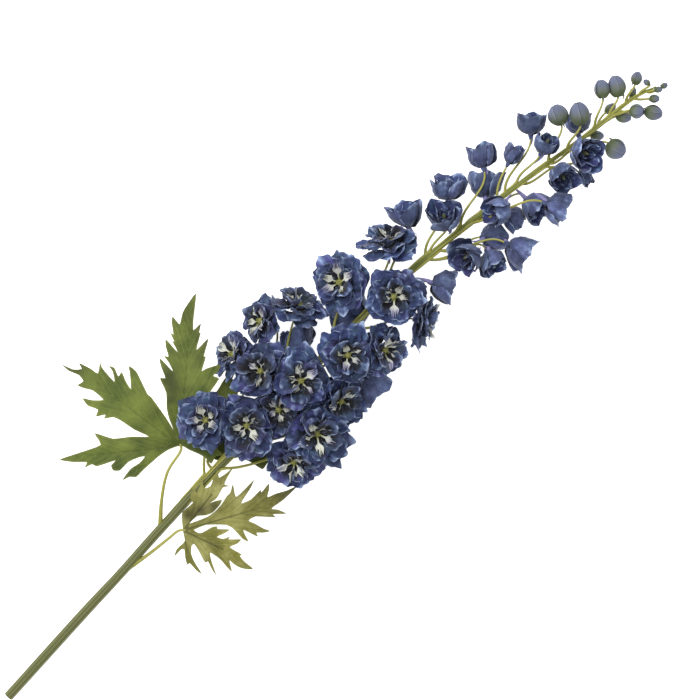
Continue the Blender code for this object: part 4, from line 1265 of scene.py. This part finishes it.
mainStem = {"sides": 60, "ribs": 9, "ribDepth": 0.03, "steps": 10, "layoutSteps": 24}
leafStalk = {"sides": 12, "ribs": 6, "ribDepth": 0.06, "steps": 8, "radii": (2.4, 1.6, 1.1)}
bud = {
    "sepals": 5,
    "turns": 48,  # half of what a sepal covers round the bud, in degrees
    "grid": (12, 8),
    "spread": (0.06, 0.03, 0.03),
    "core": [(0.1, -0.49), (0.36, -0.3), (0.42, 0.0), (0.3, 0.3), (0.08, 0.45)],  # of width and length
    "spur": 0.4,  # its length as a share of the bud's
    "ends": (0.06, 0.9),  # what a sepal's profile leaves out of half a sine's wave, and its span
    "fullness": 0.52,
    "ridge": (0.02, 0.2),  # height as a share of the width, and how wide it is
    "overlap": 0.045,
    "thick": 0.02,
}


def budShape(middle, axis, width, length, rng):
    # five sepals that close over each other, a ridge down each, and a fine spur
    v, u = sheetGrid(*bud["grid"])
    start, span = bud["ends"]
    r = width / 2 * (np.sin(math.pi * np.clip(start + span * v, 0, 1)) ** bud["fullness"]) * (1.0 - 0.08 * v)
    angle = np.radians(bud["turns"]) * u * (1 - 0.25 * v**3)
    ridgeHeight, ridgeWidth = bud["ridge"]
    ridge = ridgeHeight * width * np.exp(-((u / ridgeWidth) ** 2)) + bud["overlap"] * width * u
    r = r + ridge * np.sin(math.pi * np.clip(v, 0, 1))
    points = np.stack([r * np.cos(angle), r * np.sin(angle), (v - 0.5) * length], axis=-1)
    push = np.stack([np.cos(angle), np.sin(angle), 0.6 * (v - 0.45)], axis=-1)
    push /= np.linalg.norm(push, axis=-1, keepdims=True)
    sepal = sheetShape(points, push * bud["thick"] * width, u, v)
    shape = ringOf(sepal, bud["sepals"], rng.uniform(0, 6.3), rng.randrange(10**6), budFinish, bud["spread"])
    core = lathe([(r * width, h * length) for r, h in bud["core"]], 12, (0.0, 0.6, 1.0))
    core["marks"]["luck"][:] = 0.2
    reach = bud["spur"] * length
    line = np.array([(0.3 * width, 0, -0.3 * length, 0.07 * width + 0.25),
                     (0.36 * width, 0, -0.3 * length - 0.4 * reach, 0.05 * width + 0.15),
                     (0.3 * width, 0, -0.3 * length - reach, 0.12)])
    spur = sweepAlong([smoothCurve(line, 4)], budFinish, 6)
    spur["points"] = turned(spur["points"], rng.uniform(0, 6.3))
    spur["marks"]["spot"][:] = (0.0, 0.3, 1.0)
    spur["marks"]["luck"][:] = (0.3, 0.5, 0.5)
    shape = joined([shape, core, spur])
    shape["points"] = stoodAlong(axis, shape["points"], middle)
    return shape


stalkFoot = {
    "length": 58.0,  # how far a stalk can be told apart down the stem's side
    "steps": 12,
    "clear": 1.8,  # how far out of the stem it joins the free stalk
    "stands": (-0.8, 0.55),  # of its middle line out of the stem's skin, at its low and its high end
    "radius": (0.45, 1.3),
    "lift": (0.1, 0.55, 1.1),  # turned towards the top in turn, so the feet lie side by side
    "stemRadius": 3.2,  # where the stem is thinner than this, so are the feet
}


def footAlongStem(path, lengths, line, number):
    away = np.linalg.norm(line - line[0], axis=1)
    at = int(np.argmin(np.linalg.norm(path[:, :3] - line[0], axis=1)))
    low = int(np.argmin(np.abs(lengths - lengths[at] + stalkFoot["length"])))
    free = int(np.argmax(away > path[at, 3] + stalkFoot["clear"]))
    along = unit(path[at, :3] - path[low, :3])
    side = line[free] - line[0]
    side = unit(side - along * (side @ along))
    side = unit(side + np.array([0, 0, stalkFoot["lift"][number % len(stalkFoot["lift"])]]))
    share = np.linspace(0, 1, stalkFoot["steps"])
    rows = np.linspace(low, at, stalkFoot["steps"]).astype(int)
    size = min(1.0, path[at, 3] / stalkFoot["stemRadius"])
    out = path[rows, 3] + size * np.interp(share, (0, 1), stalkFoot["stands"])
    points = np.vstack([path[rows, :3] + out[:, None] * side, line[free : free + 2]])
    radius = size * np.interp(share, (0, 1), stalkFoot["radius"])
    return np.column_stack([points, [*radius, radius[-1], 0.8 * radius[-1]]])


def lengthsAlong(path):
    steps = np.linalg.norm(np.diff(path[:, :3], axis=0), axis=1)
    return np.concatenate([[0], np.cumsum(steps)])


def ribbed(lines, finish, look):
    return sweepAlong(lines, finish, look["sides"], look["ribs"], look["ribDepth"])


def stemPieces(stalks):
    path = smoothCurve(stemPoints, mainStem["steps"])
    stem = ribbed([path], stemFinish, mainStem)
    stem["points"] = seated(stem["points"])
    addPiece("mainStem", stem, stemFinish, "stem", "stem")
    lines = [np.column_stack([line, np.linspace(*stalk["shown"], len(line))]) for line in stalks.values()]
    lengths = lengthsAlong(path)
    lines += [footAlongStem(path, lengths, line, k) for k, line in enumerate(stalks.values())]
    addPiece("flowerStalks", ribbed(lines, stalkFinish, stalk), stalkFinish, "stem")
    lines = []
    for values in leaves.values():
        joint, out = leafJoint(np.array(values["outline"], float))
        into = np.array([-out[0], -out[1], 0])
        end = np.array([*(joint + out * spike["gap"]), values["base"]])
        line = smoothCurve([*values["petiole"], end - 5 * into, end + 3 * into], leafStalk["steps"])
        thick = np.interp(np.linspace(0, 1, len(line)), (0, 0.25, 1), leafStalk["radii"])
        lines.append(np.column_stack([line, thick]))
    addPiece("leafStalks", ribbed(lines, stalkFinish, leafStalk), stalkFinish, "stem")


# Finishes


def paint(r, g, b):
    # a colour as a screen shows it, from 0 to 255, made linear
    return (*((c / 255) ** 2.2 for c in (r, g, b)), 1.0)


def blend(tree, share, first, second, kind="MIX"):
    made = addNode(tree, "ShaderNodeMix", data_type="RGBA", blend_type=kind, clamp_factor=True)
    for place, value in ((0, share), (6, first), (7, second)):
        feed(tree, made.inputs[place], value)
    return made.outputs[2]


def cloud(tree, vector, scale, detail=2.0):
    made = addNode(tree, "ShaderNodeTexNoise", {"Scale": scale, "Detail": detail, "Vector": vector})
    return Wire(tree, made.outputs[0])


class Finish:
    # a material in the making: its shader's sockets, and the colour that its coats come to
    def __init__(self, name, roughness, **plain):
        self.material = bpy.data.materials.new(name)
        self.material.use_nodes = True
        self.tree = self.material.node_tree
        self.shader = self.tree.nodes["Principled BSDF"].inputs
        for label, value in {"Roughness": roughness, **plain}.items():
            self.shader[label.replace("_", " ")].default_value = value

    def mark(self, name):
        made = addNode(self.tree, "ShaderNodeAttribute", attribute_name=name)
        parts = addNode(self.tree, "ShaderNodeSeparateXYZ", {"Vector": made.outputs["Vector"]})
        return [Wire(self.tree, part) for part in parts.outputs]

    def clouds(self, *kinds):
        place = addNode(self.tree, "ShaderNodeTexCoord").outputs["Object"]
        return [cloud(self.tree, place, *kind) for kind in kinds]

    def group(self, group, **inputs):
        made = addNode(self.tree, "ShaderNodeGroup", node_tree=group)
        for label, value in inputs.items():
            feed(self.tree, made.inputs[label], value)
        return {s.name: Wire(self.tree, s) for s in made.outputs}

    def mixed(self, share, first, second):
        return blend(self.tree, share, first, second)

    def coat(self, share, colour):
        self.colour = self.mixed(share, self.colour, colour)

    def done(self, shade, height, strength, distance):
        # the shade darkens every coat alike, and the height is the relief
        grey = addNode(self.tree, "ShaderNodeCombineColor", {"Red": shade, "Green": shade, "Blue": shade})
        colour = blend(self.tree, 1.0, self.colour, grey.outputs[0], "MULTIPLY")
        feed(self.tree, self.shader["Base Color"], colour)
        bump = addNode(self.tree, "ShaderNodeBump",
                       {"Height": height, "Strength": strength, "Distance": distance})
        feed(self.tree, self.shader["Normal"], bump.outputs[0])
        return self.material


def fineVeinsGroup():
    # lines that run the length of a petal or leaf, wavering a little
    tree, given, made = newTree("fineVeins", "ShaderNodeTree", [
        ("Across", "Float", 0.0), ("Along", "Float", 0.0), ("Count", "Float", 9.0),
        ("Waver", "Float", 0.3), ("Seed", "Float", 0.0),
    ], [("Lines", "Float"), ("Relief", "Float")])
    corners = {"X": given["Across"], "Y": given["Along"], "Z": given["Seed"]}
    place = addNode(tree, "ShaderNodeCombineXYZ", corners)
    shift = (cloud(tree, place.outputs[0], 2.6) - 0.5) * given["Waver"]
    fold = ((given["Across"] + shift) * given["Count"] * math.pi).op("SINE").op("ABSOLUTE")
    feed(tree, made["Lines"], (1.0 - fold).op("POWER", 4.0))
    feed(tree, made["Relief"], fold)
    return tree


def threadsGroup():
    # the cloth's own weave, as threads that cross in two directions
    inputs = [("Across", "Float", 0.0), ("Along", "Float", 0.0), ("Pitch", "Float", 0.3)]
    tree, given, made = newTree("threads", "ShaderNodeTree", inputs, [("Weave", "Float")])
    across, along = ((given[label] * (2 * math.pi) / given["Pitch"]).op("SINE")
                     for label in ("Across", "Along"))
    feed(tree, made["Weave"], across * along * 0.5 + 0.5)
    return tree


petalColours = {
    # painted shade: the near-black laid low in the bowl; the veins take this colour too
    "bowlShadeAndVein": paint(9, 11, 26),
    "body": paint(54, 67, 113),
    # painted highlight: the pale line on edges that turn up, and on the crests of folds
    "rim": paint(156, 174, 206),
    "violet": paint(92, 80, 150),
    "slate": paint(72, 98, 128),
    "back": paint(100, 113, 152),
    "backDark": paint(66, 77, 108),
    "spur": paint(122, 118, 162),
    "pistil": paint(160, 168, 118),
}


def petalMaterial():
    finish = Finish("petalCloth", 0.72, Sheen_Weight=0.2, Sheen_Roughness=0.4)
    across, along, side = finish.mark("spot")
    dull, hue, warm = finish.mark("luck")
    layer, crease = finish.mark("layer")[0], finish.mark("crease")[0]
    broad, fine = finish.clouds((90.0,), (420.0, 3.0))
    back = side.ramp(0.4, -0.4)
    # painted shade: the fronts of the inner rings, down in the bowl, are darkened
    inward = layer.op("MAXIMUM", 0.0) * (back * -0.7 + 0.7)
    depth = along + (broad - 0.5) * 0.5 - inward + back * 0.2

    finish.colour = petalColours["body"]
    finish.coat((hue + broad).ramp(0.95, 1.5) * 0.45, petalColours["violet"])
    # painted shade: near-black low down in the bowl, less on the backs and the outer rings
    finish.coat(depth.ramp(0.48, 0.1), petalColours["bowlShadeAndVein"])
    finish.coat(broad.ramp(0.45, 0.7) * along.ramp(0.2, 0.7) * 0.6, petalColours["slate"])
    backColour = finish.mixed(broad.ramp(0.36, 0.62), petalColours["backDark"], petalColours["back"])
    finish.coat(back * 0.62, backColour)
    # painted highlight: a thin pale line where an edge turns up, then paler crests of the folds
    edge = across.op("ABSOLUTE").op("MAXIMUM", along) + (fine - 0.5) * 0.16
    finish.coat(edge.ramp(0.85, 1.02) * crease.ramp(-0.25, 0.6) * 0.85, petalColours["rim"])
    finish.coat(crease.ramp(0.2, 1.0) * along.ramp(0.3, 0.8) * 0.3, petalColours["rim"])
    veins = finish.group(veinGroup, Across=across, Along=along, Count=7.0, Waver=0.35, Seed=warm)
    finish.coat(veins["Lines"] * 0.35, petalColours["bowlShadeAndVein"])
    finish.coat(layer.ramp(-0.2, -0.8), petalColours["spur"])
    finish.coat(layer.ramp(1.2, 1.8), petalColours["pistil"])

    # each petal's own tone and mottling, with painted shade and light: darker in the fold valleys and down
    # the inner rings, paler on the crests
    shade = (dull * 0.6 + 0.6) * (fine * 0.6 + 0.7) * (crease * 0.34 + 0.93) * (inward * -0.5 + 1.0)
    weave = finish.group(threadGroup, Across=across * 13.0, Along=along * 26.0, Pitch=0.55)["Weave"]
    return finish.done(shade, veins["Relief"] * 0.8 + weave * 0.12 + fine * 0.5, 0.5, 0.0006)


eyeColours = {
    "cream": paint(224, 226, 212),
    "lime": paint(184, 186, 110),
    "olive": paint(126, 124, 60),
    "violet": paint(150, 146, 190),
    # dark specks, with painted shade, for the valleys of the tufts
    "speckAndValleyShade": paint(74, 74, 104),
}


def eyeMaterial():
    finish = Finish("eyeCloth", 0.65)
    across, along, _ = finish.mark("spot")
    dull, hue, _ = finish.mark("luck")
    layer, crease = finish.mark("layer")[0], finish.mark("crease")[0]
    fine, patch = finish.clouds((900.0, 3.0), (260.0,))
    finish.colour = eyeColours["lime"]
    finish.coat(along.ramp(0.05, 0.38), eyeColours["cream"])
    finish.coat((hue + patch).ramp(0.75, 1.25) * along.ramp(0.4, 0.9) * 0.8, eyeColours["violet"])
    # dark specks, with painted shade, in the valleys of the crumpled tufts
    finish.coat(crease.ramp(0.0, -0.8) * patch.ramp(0.35, 0.6) * 0.55, eyeColours["speckAndValleyShade"])
    knob = finish.mixed(fine, eyeColours["olive"], eyeColours["lime"])
    finish.coat(layer.ramp(0.5, 0.7), knob)
    veins = finish.group(veinGroup, Across=across, Along=along, Count=4.0, Waver=0.2, Seed=hue)
    shade = (dull * 0.4 + 0.62) * (veins["Lines"] * -0.14 + 1.0)
    return finish.done(shade, veins["Relief"] + fine, 0.4, 0.0004)


budColours = {
    "base": paint(86, 98, 62),
    "middle": paint(104, 111, 102),
    "tip": paint(104, 111, 138),
    # painted shade where a sepal tucks under the next; the veins take this colour too
    "seamShadeAndVein": paint(66, 74, 70),
    # painted highlight along the lapping edge of each sepal
    "lipHighlight": paint(150, 154, 172),
}


def budMaterial():
    finish = Finish("budCloth", 0.7)
    across, along, _ = finish.mark("spot")
    dull, hue, _ = finish.mark("luck")
    fine, = finish.clouds((300.0, 3.0))
    height = along + (fine - 0.5) * 0.5
    finish.colour = budColours["base"]
    finish.coat(height.ramp(0.1, 0.5), budColours["middle"])
    finish.coat(height.ramp(0.4, 0.85), budColours["tip"])
    # painted shade along the side of each sepal that tucks under its neighbour
    finish.coat(across.ramp(-0.4, -0.9) * 0.45, budColours["seamShadeAndVein"])
    # painted highlight: a pale line along each sepal's lapping edge, stronger towards the tip
    finish.coat(across.ramp(0.8, 0.98) * along.ramp(0.15, 0.6) * 0.45, budColours["lipHighlight"])
    veins = finish.group(veinGroup, Across=across, Along=along, Count=4.0, Waver=0.15, Seed=hue)
    finish.coat(veins["Lines"] * 0.3, budColours["seamShadeAndVein"])
    return finish.done(dull * 0.25 + 0.85, veins["Relief"] + fine, 0.4, 0.0005)


leafColours = {
    "top": paint(64, 78, 24),
    "topPale": paint(110, 122, 50),
    "topVein": paint(146, 158, 88),
    "topRib": paint(62, 74, 26),
    "under": paint(110, 108, 46),
    "underPale": paint(166, 163, 100),
    "underVein": paint(78, 78, 38),
    "edge": paint(132, 132, 72),
}


def leafMaterial():
    finish = Finish("leafCloth", 0.62, Specular_IOR_Level=0.35)
    ribGap, branch, side = finish.mark("spot")
    # the third part of luck is the leaf's shade, with its painted shade and light
    out, rim, shade = finish.mark("luck")
    lobe = finish.mark("layer")[0]
    broad, fine = finish.clouds((30.0, 4.0), (260.0, 3.0))
    stretched = {"X": ribGap * 0.06, "Y": branch * 0.45, "Z": lobe * 30.0}
    grain = addNode(finish.tree, "ShaderNodeCombineXYZ", stretched).outputs[0]
    streak = cloud(finish.tree, grain, 1.0, 4.0) * 0.3 + broad * 0.7
    top = finish.mixed(streak.ramp(0.34, 0.66), leafColours["top"], leafColours["topPale"])
    under = finish.mixed(streak.ramp(0.38, 0.62), leafColours["under"], leafColours["underPale"])
    front = side.ramp(-0.2, 0.2)
    veinColour = finish.mixed(front, leafColours["underVein"], leafColours["topVein"])
    ribColour = finish.mixed(front, leafColours["underVein"], leafColours["topRib"])
    main = 1.0 - ribGap.ramp(0.3, 1.3)
    wave = (branch * (math.pi / leafLook["veinPitch"])).op("SINE")
    thin = (1.0 - wave.op("ABSOLUTE")).op("POWER", 9.0)

    finish.colour = finish.mixed(front, under, top)
    finish.coat(thin * 0.4, veinColour)
    finish.coat(main * (front * -0.4 + 0.75) * out.ramp(0.95, 0.3), ribColour)
    veins = finish.group(veinGroup, Across=branch * 0.09, Along=out, Count=3.0, Waver=0.4, Seed=lobe)
    finish.coat(veins["Lines"] * 0.18, veinColour)
    finish.coat(rim.ramp(0.7, 1.0) * 0.4, leafColours["edge"])
    weave = finish.group(threadGroup, Across=ribGap, Along=branch, Pitch=0.7)["Weave"]
    height = main.op("MAXIMUM", thin) * -0.8 + weave * 0.15 + fine * 0.5
    return finish.done(shade * (fine * 0.4 + 0.8), height, 0.5, 0.0006)


stemColours = {
    "low": paint(94, 98, 50),
    "high": paint(120, 128, 50),
    "groove": paint(72, 78, 36),
    "ridge": paint(132, 136, 82),
    "stalk": paint(154, 151, 58),
    "stalkPale": paint(180, 176, 86),
}


def stemMaterial(name, low, high, ribs, fade):
    finish = Finish(name, 0.5)
    right, up, _ = finish.mark("spot")
    share = finish.mark("luck")[0]
    broad, fine = finish.clouds((40.0,), (500.0, 3.0))
    wave = (up.op("ARCTAN2", right) * ribs).op("COSINE")
    finish.colour = stemColours[low]
    finish.coat(share.ramp(*fade), stemColours[high])
    finish.coat(wave.ramp(0.2, 1.0) * (broad * 0.8), stemColours["ridge"])
    finish.coat(wave.ramp(-0.4, -1.0) * 0.35, stemColours["groove"])
    return finish.done(fine * 0.5 + 0.75, fine + wave, 0.3, 0.0004)


# The work, stage by stage


frameOrigin = frameShift()
ringTree, sweepTree = ringOfCopiesTree(), ribbedSweepTree()
veinGroup, threadGroup = fineVeinsGroup(), threadsGroup()
petalFinish, eyeFinish = petalMaterial(), eyeMaterial()
budFinish, leafFinish = budMaterial(), leafMaterial()
stemFinish = stemMaterial("stemSkin", "low", "high", mainStem["ribs"], (0.3, 0.8))
stalkFinish = stemMaterial("stalkSkin", "stalk", "stalkPale", stalk["ribs"], (0.0, 1.0))
print("finishes made")

fineStem = smoothCurve(stemPoints, mainStem["layoutSteps"])
stemLengths = lengthsAlong(fineStem)
heads = {name: headOfOpen(values) for name, values in openFlowers.items()}
heads.update({name: headOfHalfOpen(values) for name, values in halfOpenFlowers.items()})
raiseWalls(heads, fineStem[:, :3], fineStem[:, 3])
budPlaces, closedPlaces = (
    [(np.array(place[:3], float), facing(*place[3:5]), *place[5:]) for place in places]
    for places in (buds, closedFlowers)
)
keepOffStalks(heads, stalksFor(heads, fineStem[:, :3], stemLengths, stalk["steps"]))
stemPieces(stalksFor(heads, fineStem[:, :3], stemLengths, stalk["fineSteps"]))
print("stem and stalks made")


def settled(name, shape):
    shape["points"] = heads[name].placed(shape["points"])
    if name in spike["touching"]:
        shape["points"] = seated(shape["points"])
    return shape


cadDraws = random.Random(spike["seed"])
lookDraws = random.Random(spike["lookSeed"])
for name, values in openFlowers.items():
    first = drawnTurn(cadDraws, 2)
    shape = settled(name, paled(openPetals(name, values[5], first, lookDraws), values[0]))
    number = name.split("_")[1]
    addPiece("petals_" + number, shape, petalFinish, "petal", name)
    shape = eyeShape(values[5], cadDraws.uniform(0, 2 * math.pi), lookDraws)
    shape["points"] = heads[name].placed(shape["points"])
    addPiece("eyePetals_" + number, shape, eyeFinish, "eye", "eye_" + number)
print("open flowers made:", len(openFlowers))

for name, values in halfOpenFlowers.items():
    shape = halfOpenPetals(name, values[5], values[6], drawnTurn(cadDraws, 1), lookDraws)
    shape = settled(name, paled(shape, values[0]))
    addPiece("cupPetals_" + name.split("_")[1], shape, petalFinish, "petal", name)
print("half-open flowers made:", len(halfOpenFlowers))

for number, place in enumerate(closedPlaces, 1):
    addPiece(f"closedPetals_{number}", closedPetals(*place, lookDraws), petalFinish, "petal")
addPiece("buds", joined([budShape(*place, lookDraws) for place in budPlaces]), budFinish, "petal")
for name, values in leaves.items():
    leafPiece(name, values, leafFinish)
print("buds and leaves made")

total = sum(len(o.data.loops) - 2 * len(o.data.polygons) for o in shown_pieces() if o.type == "MESH")
print("triangles:", total)


# Floor, light and camera


studio = {
    "focusHeight": 45.0,  # where one pixel of the photo is one millimetre
    "lens": 150.0,
    "sensor": 36.0,
    "pixels": 700,
    "photoMiddle": (341.5, 346.5),  # in the layout
    "floorSize": 16.0,
    "floorHeight": -0.0003,  # just under the pieces that touch it
    "world": 0.62,
    "key": (-0.75, 0.8, 1.9),  # right, up and high from the spike's middle, in metres
    "keySize": 1.8,
    "keyPower": 38.0,
    "floorGlow": 0.85,
}


def buildFloor():
    half, high = studio["floorSize"] / 2, studio["floorHeight"]
    mesh = bpy.data.meshes.new("floor")
    corners = [(-half, -half, high), (half, -half, high), (half, half, high), (-half, half, high)]
    mesh.from_pydata(corners, [], [(0, 1, 2, 3)])
    finish = Finish("floorPaint", 0.95, Base_Color=paint(250, 250, 250), Specular_IOR_Level=0.0,
                    Emission_Color=(1, 1, 1, 1), Emission_Strength=studio["floorGlow"])
    mesh.materials.append(finish.material)
    linkNew("floor", mesh)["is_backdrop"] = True


def buildLight(middle):
    world = bpy.data.worlds.new("studioAir")
    bpy.context.scene.world = world
    world.use_nodes = True
    for socket, value in zip(world.node_tree.nodes["Background"].inputs, ((1, 1, 1, 1), studio["world"])):
        socket.default_value = value
    lamp = bpy.data.lights.new("keyLight", "AREA")
    lamp.size = studio["keySize"]
    lamp.energy = studio["keyPower"]
    key = linkNew("keyLight", lamp)
    right, up, high = studio["key"]
    key.location = Vector(middle) + Vector(turned(np.array([[right, up, high]]), -spike["turn"])[0])
    key.rotation_euler = (Vector(middle) - key.location).to_track_quat("-Z", "Y").to_euler()


def buildCamera(middle):
    data = bpy.data.cameras.new("camera")
    data.lens = studio["lens"]
    data.sensor_width = studio["sensor"]
    camera = linkNew("camera", data)
    distance = studio["pixels"] * mm * studio["lens"] / studio["sensor"]
    camera.location = Vector(middle) + Vector((0, 0, distance))
    camera.rotation_euler = (0, 0, -spike["turn"])
    data.clip_end = 4 * distance
    bpy.context.scene.camera = camera


photoMiddle = toFrame(np.array([[*studio["photoMiddle"], studio["focusHeight"]]]))[0]
buildFloor()
buildLight(photoMiddle)
buildCamera(photoMiddle)
bpy.context.scene.view_settings.view_transform = "Standard"
print("camera, light and floor made")
